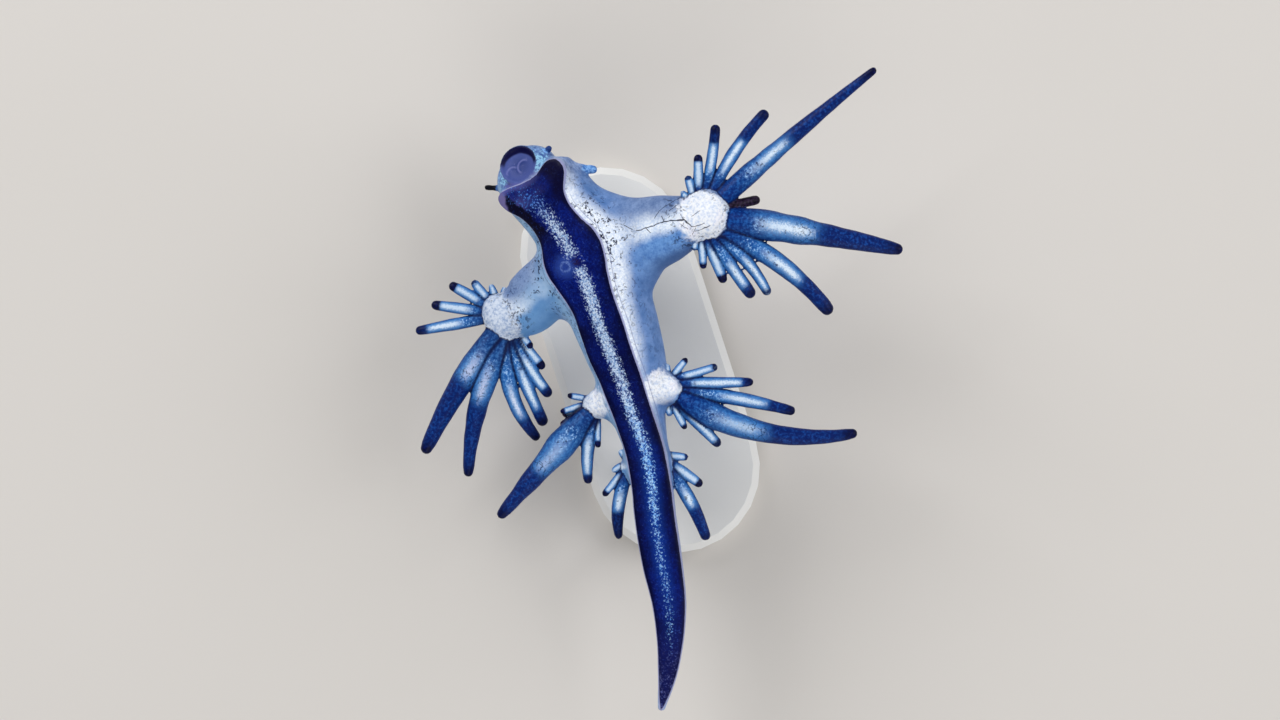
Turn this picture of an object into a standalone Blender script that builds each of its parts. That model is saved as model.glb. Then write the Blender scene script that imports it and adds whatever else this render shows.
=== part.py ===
"""Blue dragon sea slug, a still life-size model, foot side up, on a plain display stand.

Every size in the tables is in millimetres. +Y runs to the head, +X to the flank that is
turned up, +Z up. The origin is the centre of the stand's underside. Angles are in
degrees, and headings turn anticlockwise from +X as seen from above.
"""
import math
from collections import namedtuple

import bmesh
import bpy
import numpy as np
from mathutils import Matrix, Vector

MM = 0.001
GAP = 0.3

# The body: stations of the sole's midline from its front edge to the tip of the tail.
# wide and deep are half the body's width and depth, sole is half the sole's width, and
# bank is how far the body is rolled, which turns the +X flank up.
Station = namedtuple("Station", "x y z wide deep sole bank")
BODY = (
    Station(-8.07, 12.31, 11.5, 2.80, 1.85, 2.58, 26),
    Station(-7.55, 11.62, 11.7, 2.88, 1.95, 2.52, 26),
    Station(-6.90, 10.80, 11.9, 2.90, 2.10, 1.86, 27),
    Station(-5.80, 9.30, 12.1, 2.92, 2.20, 1.75, 28),
    Station(-4.40, 6.40, 12.3, 3.02, 2.35, 1.88, 29),
    Station(-3.55, 4.20, 12.2, 3.08, 2.35, 1.68, 30),
    Station(-2.40, 1.20, 12.1, 2.87, 2.25, 1.58, 30),
    Station(-1.25, -1.65, 12.0, 2.44, 2.00, 1.52, 26),
    Station(-0.40, -4.10, 11.8, 1.84, 1.65, 1.36, 15),
    Station(0.28, -6.25, 11.7, 1.58, 1.45, 1.38, 8),
    Station(0.72, -8.60, 11.6, 1.50, 1.32, 1.43, 7),
    Station(1.02, -11.10, 11.5, 1.46, 1.25, 1.43, 6),
    Station(1.45, -13.80, 11.3, 1.42, 1.15, 1.40, 5),
    Station(2.00, -17.10, 11.0, 1.18, 0.98, 1.17, 4),
    Station(2.05, -19.70, 10.7, 0.92, 0.80, 0.92, 3),
    Station(1.82, -22.20, 10.3, 0.62, 0.58, 0.61, 2),
    Station(1.50, -24.00, 10.0, 0.28, 0.30, 0.26, 0),
)
FRONT_LOBE = 0.35        # how far the sole's front lobes reach ahead of its midline's start
RING_STEP = 1.0          # distance between the rings of the body
SOLE_THICK = 0.45        # height of the sole's side above the flank
SOLE_CROWN = 0.20        # how much the sole's middle stands above its edges
FLANK_POWER = 0.82       # below 1 makes the flank fuller than an ellipse
FLANK_POINTS = 7
TAIL_POINT = 0.35        # length of the closing cone at the tail's tip
TAIL_POINT_LIFT = 0.4    # how far up from the axis the tip lies, as a share of deep
AHEAD_STEP = 0.05        # distance along a path over which its direction is measured

# Where the body is divided, as distances along the sole from its front edge
NECK_END = 4.2
FRONT_END = 10.8
MIDDLE_END = 14.0
REAR_END = 19.3
TAIL_FRONT_END = 24.6
TAIL_MIDDLE_END = 32.0

# The head: rings ahead of the sole, shifted sideways and up from the body's axis
HeadRing = namedtuple("HeadRing", "ahead wide deep side lift")
HEAD = (
    HeadRing(0.50, 2.30, 1.48, -0.42, -0.15),
    HeadRing(1.10, 2.26, 1.45, -0.45, -0.15),
    HeadRing(1.60, 2.02, 1.32, -0.48, -0.15),
    HeadRing(2.00, 1.56, 1.06, -0.50, -0.15),
    HeadRing(2.28, 0.95, 0.72, -0.52, -0.15),
    HeadRing(2.42, 0.45, 0.38, -0.55, -0.15),
)
HEAD_TIP = 2.46
HEAD_SIDES = 20
HEAD_BACK = 0.65         # the head's flat back face, ahead of the sole's front
LIP_AHEAD = 1.20         # centre of the mouth disc ahead of the sole
LIP_SIDE = -0.62         # its centre aside from the body's axis
LIP_RADIUS = 1.05
LIP_TUBE = 0.30
LIP_LIFT = 0.93
LIP_TILT = 26            # the disc leans forward by this much
MOUTH_LONG = 0.62        # half length of the mouth's slit
MOUTH_HALF = 0.16        # half its width
MOUTH_DEEP = 0.45

# Feelers: tentacles by the mouth and rhinophores on the flanks. round is where each grows
# round the section, from the +X side over the sole.
Feeler = namedtuple("Feeler", "ahead round heading turn length width rise")
FEELERS = {
    "oral_tentacle_left": Feeler(0.85, 182, 178, -4, 1.65, 0.50, -0.15),
    "oral_tentacle_right": Feeler(1.00, 12, 30, 60, 0.85, 0.54, 0.40),
    "rhinophore_left": Feeler(-1.10, 205, 215, -20, 1.75, 0.60, -0.30),
    "rhinophore_right": Feeler(-1.10, -14, 6, -16, 1.95, 0.66, -0.10),
}
FEELER_SUNK = 0.80       # a feeler's root lies this share of the way out to the skin
FEELER_STEPS = 5
FEELER_SIDES = 8

# Arms: stations from inside the body out to the hub that the cerata grow round
ArmRing = namedtuple("ArmRing", "x y z wide deep")
ARMS = {
    "arm_front_right": (
        ArmRing(-2.60, 7.40, 10.5, 4.10, 1.80),
        ArmRing(-0.60, 7.82, 11.2, 3.58, 1.72),
        ArmRing(0.77, 8.58, 11.7, 2.72, 1.60),
        ArmRing(2.10, 9.05, 12.1, 2.30, 1.45),
        ArmRing(3.40, 9.58, 12.5, 1.82, 1.32),
        ArmRing(4.62, 10.00, 12.9, 1.45, 1.15),
    ),
    "arm_front_left": (
        ArmRing(-3.80, 6.00, 9.9, 3.00, 1.75),
        ArmRing(-5.35, 5.45, 9.4, 2.60, 1.65),
        ArmRing(-6.78, 4.68, 8.9, 2.22, 1.50),
        ArmRing(-7.90, 3.60, 8.5, 2.10, 1.32),
        ArmRing(-9.50, 2.95, 8.1, 1.45, 1.10),
    ),
    "arm_mid_right": (
        ArmRing(-0.60, -1.70, 10.2, 1.75, 1.25),
        ArmRing(0.60, -1.85, 10.5, 1.50, 1.10),
        ArmRing(1.93, -2.07, 10.9, 0.98, 0.85),
    ),
    "arm_mid_left": (
        ArmRing(-0.90, -2.60, 9.9, 1.60, 1.20),
        ArmRing(-2.00, -2.85, 9.7, 1.30, 1.05),
        ArmRing(-3.10, -3.10, 9.4, 0.88, 0.80),
    ),
    "arm_rear_right": (
        ArmRing(0.55, -7.00, 10.3, 0.85, 0.60),
        ArmRing(1.50, -7.10, 10.4, 0.72, 0.52),
    ),
    "arm_rear_left": (
        ArmRing(0.10, -7.30, 10.2, 0.80, 0.60),
        ArmRing(-0.75, -7.40, 10.1, 0.66, 0.50),
    ),
}
ARM_SIDES = 16
ARM_STEP = 0.75

# Hubs: the rounded end of each arm, with half its length and width and its half depth
Hub = namedtuple("Hub", "x y z along across deep")
HUBS = {
    "front_right": Hub(4.62, 10.00, 12.9, 1.55, 1.72, 1.20),
    "front_left": Hub(-9.66, 2.90, 8.1, 1.20, 1.70, 1.12),
    "mid_right": Hub(1.93, -2.07, 10.9, 0.95, 1.00, 0.85),
    "mid_left": Hub(-3.10, -3.10, 9.4, 0.82, 0.88, 0.80),
    "rear_right": Hub(1.50, -7.10, 10.4, 0.55, 0.70, 0.52),
    "rear_left": Hub(-0.75, -7.40, 10.1, 0.50, 0.64, 0.50),
}
HUB_SIDES = 16
HUB_RINGS = 8
HUB_FACE = 0.80          # the flat face towards the arm, as a share of the hub's half length

# Cerata: each grows from the hub's rim at the angle round it, starts at its heading and
# turns evenly. width is its greatest and lies at the share peak of its length, rise is its
# tip's height above its root, and base and point are its widths at the hub and before its
# round tip, as shares of the greatest.
Ceras = namedtuple(
    "Ceras", "round heading turn length width rise point peak base", defaults=(0.85, 0.45, 0.80)
)
CERATA = {
    "front_right_fore": (
        Ceras(144, 128, 0, 0.90, 0.50, 0.1),
        Ceras(128, 106, 0, 1.50, 0.62, 0.2),
        Ceras(112, 91, 0, 2.65, 0.74, 0.4),
        Ceras(96, 75, 12, 4.65, 0.78, 0.6, 0.92),
        Ceras(77, 66, -20, 6.75, 0.92, 0.8, 0.88),
        Ceras(48, 42, -4, 13.8, 1.40, 1.2, 0.36, 0.19, 0.93),
        Ceras(22, 13, 0, 2.35, 0.70, -1.0, 0.95),
    ),
    "front_right_aft": (
        Ceras(-14, -8, -4, 12.2, 2.12, -0.2, 0.40, 0.27, 0.76),
        Ceras(-49, -22, -30, 9.50, 1.33, -0.6, 0.70, 0.42, 0.75),
        Ceras(-65, -34, -30, 5.50, 0.94, -0.6, 0.72),
        Ceras(-80, -56, 2, 5.05, 0.95, -0.8, 0.88),
        Ceras(-93, -69, 2, 3.40, 0.78, -0.5),
        Ceras(-106, -86, 0, 2.30, 0.60, -0.2),
        Ceras(-117, -102, 0, 1.20, 0.50, 0.0),
    ),
    "front_left_fore": (
        Ceras(84, 84, 0, 0.80, 0.50, 0.1),
        Ceras(104, 112, 0, 0.95, 0.55, 0.1),
        Ceras(124, 130, 0, 1.75, 0.68, 0.2),
        Ceras(140, 147, 6, 2.90, 0.80, 0.2),
        Ceras(160, 171, 2, 3.70, 0.80, 0.0),
        Ceras(183, 189, 2, 4.90, 0.86, -0.3, 0.75),
    ),
    "front_left_aft": (
        Ceras(-110, -128, 14, 9.60, 1.72, -0.9, 0.50, 0.36, 0.88),
        Ceras(-87, -116, 24, 9.95, 1.70, -1.2, 0.40, 0.27, 0.72),
        Ceras(-74, -98, 51, 7.55, 1.14, -0.8, 0.62, 0.45, 0.70),
        Ceras(-67, -72, 8, 6.50, 0.96, -0.3),
        Ceras(-58, -64, 13, 4.90, 0.90, 0.1),
        Ceras(-46, -52, 2, 3.15, 0.70, 0.3, 0.90),
        Ceras(-37, -49, 0, 1.60, 0.60, 0.4),
        Ceras(-20, -22, 0, 0.95, 0.50, 0.3),
    ),
    "mid_right": (
        Ceras(92, 90, 0, 0.90, 0.50, 0.1),
        Ceras(74, 51, 0, 1.70, 0.56, 0.2),
        Ceras(56, 16, 2, 3.05, 0.66, 0.3),
        Ceras(32, 0, 2, 5.15, 0.86, 0.4, 0.68),
        Ceras(-2, -6, -9, 8.05, 1.03, 0.2, 0.66, 0.50, 0.65),
        Ceras(-30, -34, 45, 12.9, 1.88, -0.3, 0.38, 0.22, 0.60),
        Ceras(-52, -46, 0, 4.40, 0.88, -0.5, 0.74),
        Ceras(-74, -62, 0, 2.10, 0.55, -0.2),
        Ceras(-94, -78, 0, 0.95, 0.50, 0.0),
    ),
    "mid_left": (
        Ceras(146, 170, 0, 1.30, 0.50, 0.3),
        Ceras(178, 198, 0, 1.75, 0.50, 0.1),
        Ceras(-168, -160, 0, 1.65, 0.50, -0.5),
        Ceras(-146, -151, 0, 2.05, 0.54, -0.5),
        Ceras(-124, -132, 2, 9.55, 1.98, -0.7, 0.37, 0.31, 0.62),
        Ceras(-94, -108, 26, 4.75, 1.00, -0.6, 0.62, 0.42, 0.70),
        Ceras(-76, -90, 0, 2.20, 0.50, 0.4),
    ),
    "rear_right": (
        Ceras(60, -6, 0, 1.55, 0.64, 0.1),
        Ceras(10, -36, 0, 2.85, 0.76, -0.1),
        Ceras(-40, -51, -21, 5.75, 0.98, -0.6, 0.75),
    ),
    "rear_left": (
        Ceras(110, 127, 0, 0.80, 0.50, 0.1),
        Ceras(160, 212, 0, 0.90, 0.50, 0.1),
        Ceras(-150, -128, 0, 2.25, 0.56, -0.1),
        Ceras(-104, -114, 34, 4.55, 0.99, -0.6, 0.58),
    ),
}
CERAS_RIM = 0.92         # a ceras leaves its hub at this share of the hub's reach
CERAS_SUNK = 0.40        # its root lies this deep inside, as a share of the hub's reach
CERAS_STEPS = ((2.0, 3), (4.0, 4), (7.5, 6), (99.0, 8))    # rings by the ceras's length
CERAS_SIDES = ((0.80, 6), (1.50, 8), (99.0, 10))           # sides by its width
TIP_RINGS = ((0.50, 1.00), (0.16, 0.72))     # width and distance from the tip, of the width there

# The stand
BASE_LONG = 28.0
BASE_WIDE = 12.0
BASE_HIGH = 2.5
BASE_BEVEL = 0.5
BASE_TURN = 18           # the base lies along the body, turned this far from +Y
BASE_ARC_STEPS = 12
ROD_RADIUS = 0.9
ROD_SIDES = 16
ROD_ALONG = {"stand_rod_front": 8.0, "stand_rod_rear": 21.8}

# Where the front hubs' two halves part, as headings from the hub's centre
HUB_SPLIT = {"front_right": 4, "front_left": -155}

# The lengths of the body, along the sole, that are cut clear of each pair of arms
ARM_SPANS = {"front": (0.3, 14.0), "mid": (11.5, 21.5), "rear": (18.0, 26.0)}
ROD_SPAN = 4.0           # how far the body is cut clear of a rod, both ways


def clear_scene():
    for obj in list(bpy.data.objects):
        bpy.data.objects.remove(obj)


def material(name, colour, roughness):
    found = bpy.data.materials.get(name)
    if found:
        return found
    made = bpy.data.materials.new(name)
    made.use_nodes = True
    shader = made.node_tree.nodes["Principled BSDF"]
    shader.inputs["Base Color"].default_value = (*colour, 1.0)
    shader.inputs["Roughness"].default_value = roughness
    shader.inputs["Metallic"].default_value = 0.0
    made.diffuse_color = (*colour, 1.0)
    return made


def sole_blue():
    return material("sole_blue", (0.02, 0.04, 0.26), 0.35)


def flank_silver():
    return material("flank_silver", (0.55, 0.66, 0.85), 0.40)


def ceras_blue():
    return material("ceras_blue", (0.05, 0.16, 0.45), 0.35)


def feeler_blue():
    return material("feeler_blue", (0.06, 0.18, 0.42), 0.40)


def stand_white():
    return material("stand_white", (0.80, 0.80, 0.79), 0.50)


def rod_steel():
    return material("rod_steel", (0.62, 0.62, 0.63), 0.30)


def new_object(name, points, faces, look):
    """A mesh object from points in millimetres."""
    mesh = bpy.data.meshes.new(name)
    mesh.from_pydata([Vector(p) * MM for p in points], [], faces)
    mesh.validate()
    obj = bpy.data.objects.new(name, mesh)
    bpy.context.scene.collection.objects.link(obj)
    obj.data.materials.append(look)
    return obj


def loft(name, rings, look, start_tip=None, end_tip=None):
    """A closed body through rings of equally many points, with flat ends or end points."""
    points = [p for ring in rings for p in ring]
    count = len(rings[0])
    faces = []
    for r in range(len(rings) - 1):
        for i in range(count):
            j = (i + 1) % count
            a, b = r * count, (r + 1) * count
            faces.append((a + i, a + j, b + j, b + i))
    last = (len(rings) - 1) * count
    if start_tip is None:
        faces.append(tuple(reversed(range(count))))
    else:
        points.append(start_tip)
        faces += [((i + 1) % count, i, len(points) - 1) for i in range(count)]
    if end_tip is None:
        faces.append(tuple(range(last, last + count)))
    else:
        points.append(end_tip)
        faces += [(last + i, last + (i + 1) % count, len(points) - 1) for i in range(count)]
    obj = new_object(name, points, faces, look)
    face_out(obj.data)
    return obj


def face_out(mesh):
    bm = bmesh.new()
    bm.from_mesh(mesh)
    bmesh.ops.recalc_face_normals(bm, faces=bm.faces)
    if bm.calc_volume(signed=True) < 0:
        bmesh.ops.reverse_faces(bm, faces=bm.faces)
    bm.to_mesh(mesh)
    bm.free()


def smooth(table, places, at):
    """Values of a table between its rows, on a curve that passes through each row."""
    rows = np.array(table, dtype=float)
    places = np.asarray(places, dtype=float)
    slopes = np.gradient(rows, places, axis=0)
    k = int(np.clip(np.searchsorted(places, at) - 1, 0, len(places) - 2))
    span = places[k + 1] - places[k]
    t = (at - places[k]) / span
    if t < 0 or t > 1:
        end = 0 if t < 0 else -1
        return rows[end] + slopes[end] * (at - places[end])
    return (
        rows[k] * (1 + 2 * t) * (1 - t) ** 2
        + rows[k + 1] * t * t * (3 - 2 * t)
        + slopes[k] * span * t * (1 - t) ** 2
        - slopes[k + 1] * span * t * t * (1 - t)
    )


def distances(table):
    """How far along its path each row of a table lies."""
    path = np.array([row[:3] for row in table])
    return np.concatenate([[0.0], np.cumsum(np.linalg.norm(np.diff(path, axis=0), axis=1))])


BODY_AT = distances(BODY)
BODY_LENGTH = BODY_AT[-1]


def body_frame(at):
    """The body's axis point, its side, up and forward directions, and its sizes there."""
    x, y, z, wide, deep, sole, bank = smooth(BODY, BODY_AT, at)
    before, after = at - AHEAD_STEP, at + AHEAD_STEP
    ahead = smooth(BODY, BODY_AT, before)[:3] - smooth(BODY, BODY_AT, after)[:3]
    forward = Vector(ahead).normalized()
    level = forward.cross(Vector((0, 0, 1))).normalized()
    plumb = level.cross(forward)
    roll = math.radians(bank)
    side = level * math.cos(roll) + plumb * math.sin(roll)
    up = plumb * math.cos(roll) - level * math.sin(roll)
    axis = Vector((x, y, z)) - up * deep
    return axis, side, up, forward, wide, deep, sole


def body_section(wide, deep, sole, grow):
    """Half of the body's outline from the sole's middle round to the back's middle.

    The grown outline, which cuts what meets the body, has no step beside the sole.
    """
    thick = min(SOLE_THICK, 0.4 * deep)
    crown = min(SOLE_CROWN, 0.2 * deep)
    wide, sole, top, edge = wide + grow, sole + grow, deep + grow, deep - thick
    start = math.asin((edge / top) ** (1 / FLANK_POWER))
    if grow:
        start = math.acos(min(1.0, sole / wide) ** (1 / FLANK_POWER))
        edge = top * math.sin(start) ** FLANK_POWER
    half = [(0.0, top), (0.55 * sole, top - 0.3 * crown), (sole, top - crown), (sole, edge)]
    for angle in np.linspace(start, -math.pi / 2, FLANK_POINTS):
        height = math.copysign(abs(math.sin(angle)) ** FLANK_POWER, angle)
        half.append((wide * abs(math.cos(angle)) ** FLANK_POWER, top * height))
    if grow:
        half.pop(4)
    half[-1] = (0.0, -top)
    return half


def body_ring(at, grow=0.0):
    axis, side, up, _, wide, deep, sole = body_frame(at)
    half = body_section(wide, deep, sole, grow)
    outline = half + [(-u, v) for u, v in reversed(half[1:-1])]
    return [axis + side * u + up * v for u, v in outline]


def body_piece(name, start, end, look, grow=0.0):
    """A length of the body between two distances along the sole."""
    count = max(2, round((end - start) / RING_STEP) + 1)
    rings = [body_ring(at, grow) for at in np.linspace(start, end, count)]
    tip = None
    if end >= BODY_LENGTH:
        axis, _, up, forward, _, deep, _ = body_frame(BODY_LENGTH)
        tip = axis + up * TAIL_POINT_LIFT * deep - forward * TAIL_POINT
    return loft(name, rings, look, end_tip=tip)


def head_place(ahead, side_shift, lift):
    """A point given by its distances ahead of the sole's front, aside and up."""
    axis, side, up, forward = body_frame(0.0)[:4]
    return axis + forward * ahead + side * side_shift + up * lift


def head_piece(name, look, grow=0.0):
    rings = []
    for ring in HEAD:
        points = []
        for i in range(HEAD_SIDES):
            angle = 2 * math.pi * i / HEAD_SIDES
            c, s = math.cos(angle), math.sin(angle)
            u = (ring.wide + grow) * math.copysign(abs(c) ** FLANK_POWER, c)
            v = (ring.deep + grow) * math.copysign(abs(s) ** FLANK_POWER, s)
            ahead = ring.ahead + (grow if ring is not HEAD[0] else -grow)
            points.append(head_place(ahead, ring.side + u, ring.lift + v))
        rings.append(points)
    tip = head_place(HEAD_TIP + grow, HEAD[-1].side, HEAD[-1].lift)
    return loft(name, rings, look, end_tip=tip)


def mouth_axes():
    """The mouth disc's centre and its side, slit and outward directions."""
    side, up, forward = body_frame(0.0)[1:4]
    tilt = math.radians(LIP_TILT)
    outward = up * math.cos(tilt) + forward * math.sin(tilt)
    along = forward * math.cos(tilt) - up * math.sin(tilt)
    return head_place(LIP_AHEAD, LIP_SIDE, LIP_LIFT), side, along, outward


def lip_ring(look, major_steps=24, minor_steps=6):
    centre, side, along, outward = mouth_axes()
    rings = []
    for i in range(major_steps):
        a = 2 * math.pi * i / major_steps
        spoke = side * math.cos(a) + along * math.sin(a)
        rings.append([
            centre + spoke * (LIP_RADIUS + LIP_TUBE * math.cos(b)) + outward * LIP_TUBE * math.sin(b)
            for b in (2 * math.pi * j / minor_steps for j in range(minor_steps))
        ])
    points = [p for ring in rings for p in ring]
    faces = []
    for i in range(major_steps):
        for j in range(minor_steps):
            a, b = i * minor_steps, ((i + 1) % major_steps) * minor_steps
            k = (j + 1) % minor_steps
            faces.append((a + j, a + k, b + k, b + j))
    ring = new_object("lip", points, faces, look)
    face_out(ring.data)
    return ring


def mouth_cutter(look):
    """A lens-shaped wedge that cuts the mouth's slit into the disc."""
    centre, side, along, outward = mouth_axes()
    rings = []
    for t in np.linspace(-1, 1, 7):
        half = MOUTH_HALF * math.sqrt(max(0.0, 1 - t * t)) + 0.03
        here = centre + along * (MOUTH_LONG * t)
        rings.append([
            here + side * half + outward * LIP_TUBE,
            here - side * half + outward * LIP_TUBE,
            here - side * half - outward * (MOUTH_DEEP * (1 - 0.5 * t * t) - LIP_TUBE),
            here + side * half - outward * (MOUTH_DEEP * (1 - 0.5 * t * t) - LIP_TUBE),
        ])
    return loft("mouth", rings, look)


def ellipse_ring(centre, across, up, wide, deep, sides):
    ring = []
    for i in range(sides):
        angle = 2 * math.pi * i / sides
        ring.append(centre + across * wide * math.cos(angle) + up * deep * math.sin(angle))
    return ring


def level_frame(direction):
    """The level direction across a path and the one that stands up on it."""
    across = direction.cross(Vector((0, 0, 1))).normalized()
    return across, across.cross(direction).normalized()


def arm_piece(name, look, last=None):
    """An arm along its stations, up to the share last of its length."""
    table = ARMS[name]
    places = distances(table)
    end = places[-1] if last is None else last
    count = max(3, round(end / ARM_STEP) + 1)
    rings = []
    for at in np.linspace(0, end, count):
        x, y, z, wide, deep = smooth(table, places, at)
        before, after = at - AHEAD_STEP, at + AHEAD_STEP
        ahead = smooth(table, places, after)[:3] - smooth(table, places, before)[:3]
        across, up = level_frame(Vector(ahead).normalized())
        rings.append(ellipse_ring(Vector((x, y, z)), across, up, wide, deep, ARM_SIDES))
    return loft(name, rings, look)


def hub_frame(key):
    """The hub's centre and its outward, across and up directions."""
    hub = HUBS[key]
    table = ARMS["arm_" + key]
    outward = Vector(table[-1][:3]) - Vector(table[-2][:3])
    outward.normalize()
    across, up = level_frame(outward)
    return Vector((hub.x, hub.y, hub.z)), outward, across, up


def hub_piece(key, look):
    hub = HUBS[key]
    centre, outward, across, up = hub_frame(key)
    rings = []
    for i in range(1, HUB_RINGS):
        angle = math.pi * i / HUB_RINGS - math.pi / 2
        here = centre + up * hub.deep * math.sin(angle)
        shrink = math.cos(angle)
        rings.append(ellipse_ring(here, outward, across, hub.along * shrink,
                                  hub.across * shrink, HUB_SIDES))
    return loft("hub", rings, look, centre - up * hub.deep, centre + up * hub.deep)


def hub_reach(key, angle):
    """How far the hub's rim lies from its centre at a heading seen from above."""
    hub = HUBS[key]
    outward = hub_frame(key)[1]
    turned = math.radians(angle) - math.atan2(outward.y, outward.x)
    return 1 / math.hypot(math.cos(turned) / hub.along, math.sin(turned) / hub.across)


def tube(name, path, widths, sides, look):
    """A tapering tube along a path, closed by a flat root and a point."""
    rings = []
    for i, (here, width) in enumerate(zip(path[:-1], widths)):
        ahead = path[i + 1] - path[max(i - 1, 0)]
        across, up = level_frame(ahead.normalized())
        rings.append(ellipse_ring(here, across, up, width / 2, width / 2, sides))
    return loft(name, rings, look, end_tip=path[-1])


def bent_path(root, heading, turn, length, rise, steps):
    """Points from a root that start at a heading, turn evenly and rise to the tip."""
    path = [root]
    for i in range(steps):
        angle = math.radians(heading + turn * (i + 0.5) / steps)
        step = Vector((math.cos(angle), math.sin(angle), 0)) * (length / steps)
        path.append(path[-1] + step)
    for i, point in enumerate(path):
        point.z += rise * (i / steps) ** 1.5
    return path


def round_tip(path, widths, blunt):
    """Makes the end of a tube round where it is blunt wide, with rings before the tip."""
    tip = path[-1]
    back = (path[-2] - tip).normalized()
    clear = 1.2 * TIP_RINGS[0][0] * blunt
    rings = [(point, width) for point, width in zip(path, widths) if (point - tip).length > clear]
    rings += [(tip + back * distance * blunt, share * blunt) for distance, share in TIP_RINGS]
    return [point for point, _ in rings] + [tip], [width for _, width in rings]


def ceras_width(ceras, t):
    """The width of a ceras at the share t of its length, before its round tip."""
    if t < ceras.peak:
        swell = math.sin(math.pi / 2 * max(t, 0) / ceras.peak)
        return ceras.width * (ceras.base + (1 - ceras.base) * swell)
    return ceras.width * (1 - (1 - ceras.point) * (t - ceras.peak) / (1 - ceras.peak))


def size_class(classes, size):
    return next(count for limit, count in classes if size < limit)


def ceras_piece(key, ceras, look):
    centre = hub_frame(key)[0]
    spoke = Vector((math.cos(math.radians(ceras.round)), math.sin(math.radians(ceras.round)), 0))
    reach = hub_reach(key, ceras.round)
    root = centre + spoke * reach * CERAS_RIM
    steps = size_class(CERAS_STEPS, ceras.length)
    path = bent_path(root, ceras.heading, ceras.turn, ceras.length, ceras.rise, steps)
    path = [centre + spoke * reach * CERAS_SUNK] + path
    widths = [ceras_width(ceras, i / steps) for i in range(steps)]
    path, widths = round_tip(path, widths[:1] + widths, ceras_width(ceras, 1.0))
    return tube("ceras", path, widths, size_class(CERAS_SIDES, ceras.width), look)


def feeler_root(feeler):
    """The point inside the head or the neck where a feeler starts."""
    if feeler.ahead > 0:
        aheads = [ring.ahead for ring in HEAD]
        wide, deep, side, lift = smooth(HEAD, aheads, feeler.ahead)[1:]
        centre = head_place(feeler.ahead, side, lift)
        across, up = body_frame(0.0)[1:3]
    else:
        centre, across, up, _, wide, deep, _ = body_frame(-feeler.ahead)
    angle = math.radians(feeler.round)
    out = across * wide * math.cos(angle) + up * deep * math.sin(angle)
    return centre + out * FEELER_SUNK


def feeler_piece(name, look):
    feeler = FEELERS[name]
    path = bent_path(feeler_root(feeler), feeler.heading, feeler.turn, feeler.length,
                     feeler.rise, FEELER_STEPS)
    widths = [feeler.width] * FEELER_STEPS
    return tube(name, *round_tip(path, widths, feeler.width), FEELER_SIDES, look)


def take_mesh(obj):
    """Replaces an object's mesh by its evaluated one and drops its modifiers."""
    graph = bpy.context.evaluated_depsgraph_get()
    mesh = bpy.data.meshes.new_from_object(obj.evaluated_get(graph))
    obj.modifiers.clear()
    obj.data = mesh


def join_all(obj, others, solver="EXACT"):
    """Fuses other closed bodies with an object and removes them."""
    group = bpy.data.collections.new("joined")
    bpy.context.scene.collection.children.link(group)
    for other in others:
        bpy.context.scene.collection.objects.unlink(other)
        group.objects.link(other)
    union = obj.modifiers.new("union", "BOOLEAN")
    union.operation = "UNION"
    union.operand_type = "COLLECTION"
    union.collection = group
    union.solver = solver
    take_mesh(obj)
    for other in others:
        bpy.data.objects.remove(other)
    bpy.data.collections.remove(group)


def cut_by(obj, cutter):
    """Cuts a closed body out of an object and removes the cutter."""
    cutter.hide_render = True
    cutter.display_type = "WIRE"
    cut = obj.modifiers.new("cut", "BOOLEAN")
    cut.operation = "DIFFERENCE"
    cut.object = cutter
    cut.solver = "EXACT"
    take_mesh(obj)
    bpy.data.objects.remove(cutter)


def slice_off(obj, point, normal):
    """Removes what lies beyond a plane, on the side its normal points to, and closes it."""
    bm = bmesh.new()
    bm.from_mesh(obj.data)
    geometry = bm.verts[:] + bm.edges[:] + bm.faces[:]
    result = bmesh.ops.bisect_plane(bm, geom=geometry, plane_co=point * MM, plane_no=normal,
                                    clear_outer=True, dist=1e-7)
    edges = [e for e in result["geom_cut"] if isinstance(e, bmesh.types.BMEdge)]
    bmesh.ops.holes_fill(bm, edges=edges)
    bmesh.ops.triangulate(bm, faces=[f for f in bm.faces if len(f.verts) > 4])
    bm.to_mesh(obj.data)
    bm.free()


def keep_largest(obj):
    """Keeps only the closed surface that holds the most."""
    bm = bmesh.new()
    bm.from_mesh(obj.data)
    left = set(bm.faces)
    shells = []
    while left:
        todo = [left.pop()]
        shell = list(todo)
        while todo:
            for edge in todo.pop().edges:
                for face in edge.link_faces:
                    if face in left:
                        left.remove(face)
                        todo.append(face)
                        shell.append(face)
        shells.append(shell)

    def volume(shell):
        total = 0.0
        for face in shell:
            a = face.verts[0].co
            for b, c in zip(face.verts[1:-1], face.verts[2:]):
                total += a.dot(b.co.cross(c.co)) / 6
        return total

    best = max(shells, key=volume)
    drop = [f for shell in shells if shell is not best for f in shell]
    bmesh.ops.delete(bm, geom=drop, context="FACES")
    bm.to_mesh(obj.data)
    bm.free()


def finish(obj, angle=40):
    keep_largest(obj)
    obj.data.shade_smooth()
    obj.data.set_sharp_from_angle(angle=math.radians(angle))


def body_cutter(start, end):
    return body_piece("cutter", start, end, sole_blue(), grow=GAP)


def build_body():
    half = GAP / 2
    parts = (
        ("neck", -FRONT_LOBE, NECK_END - half),
        ("body_front", NECK_END + half, FRONT_END - half),
        ("body_middle", FRONT_END + half, MIDDLE_END - half),
        ("body_rear", MIDDLE_END + half, REAR_END - half),
        ("tail_front", REAR_END + half, TAIL_FRONT_END - half),
        ("tail_middle", TAIL_FRONT_END + half, TAIL_MIDDLE_END - half),
        ("tail_tip", TAIL_MIDDLE_END + half, BODY_LENGTH),
    )
    for name, start, end in parts:
        finish(body_piece(name, start, end, sole_blue()))


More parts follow.
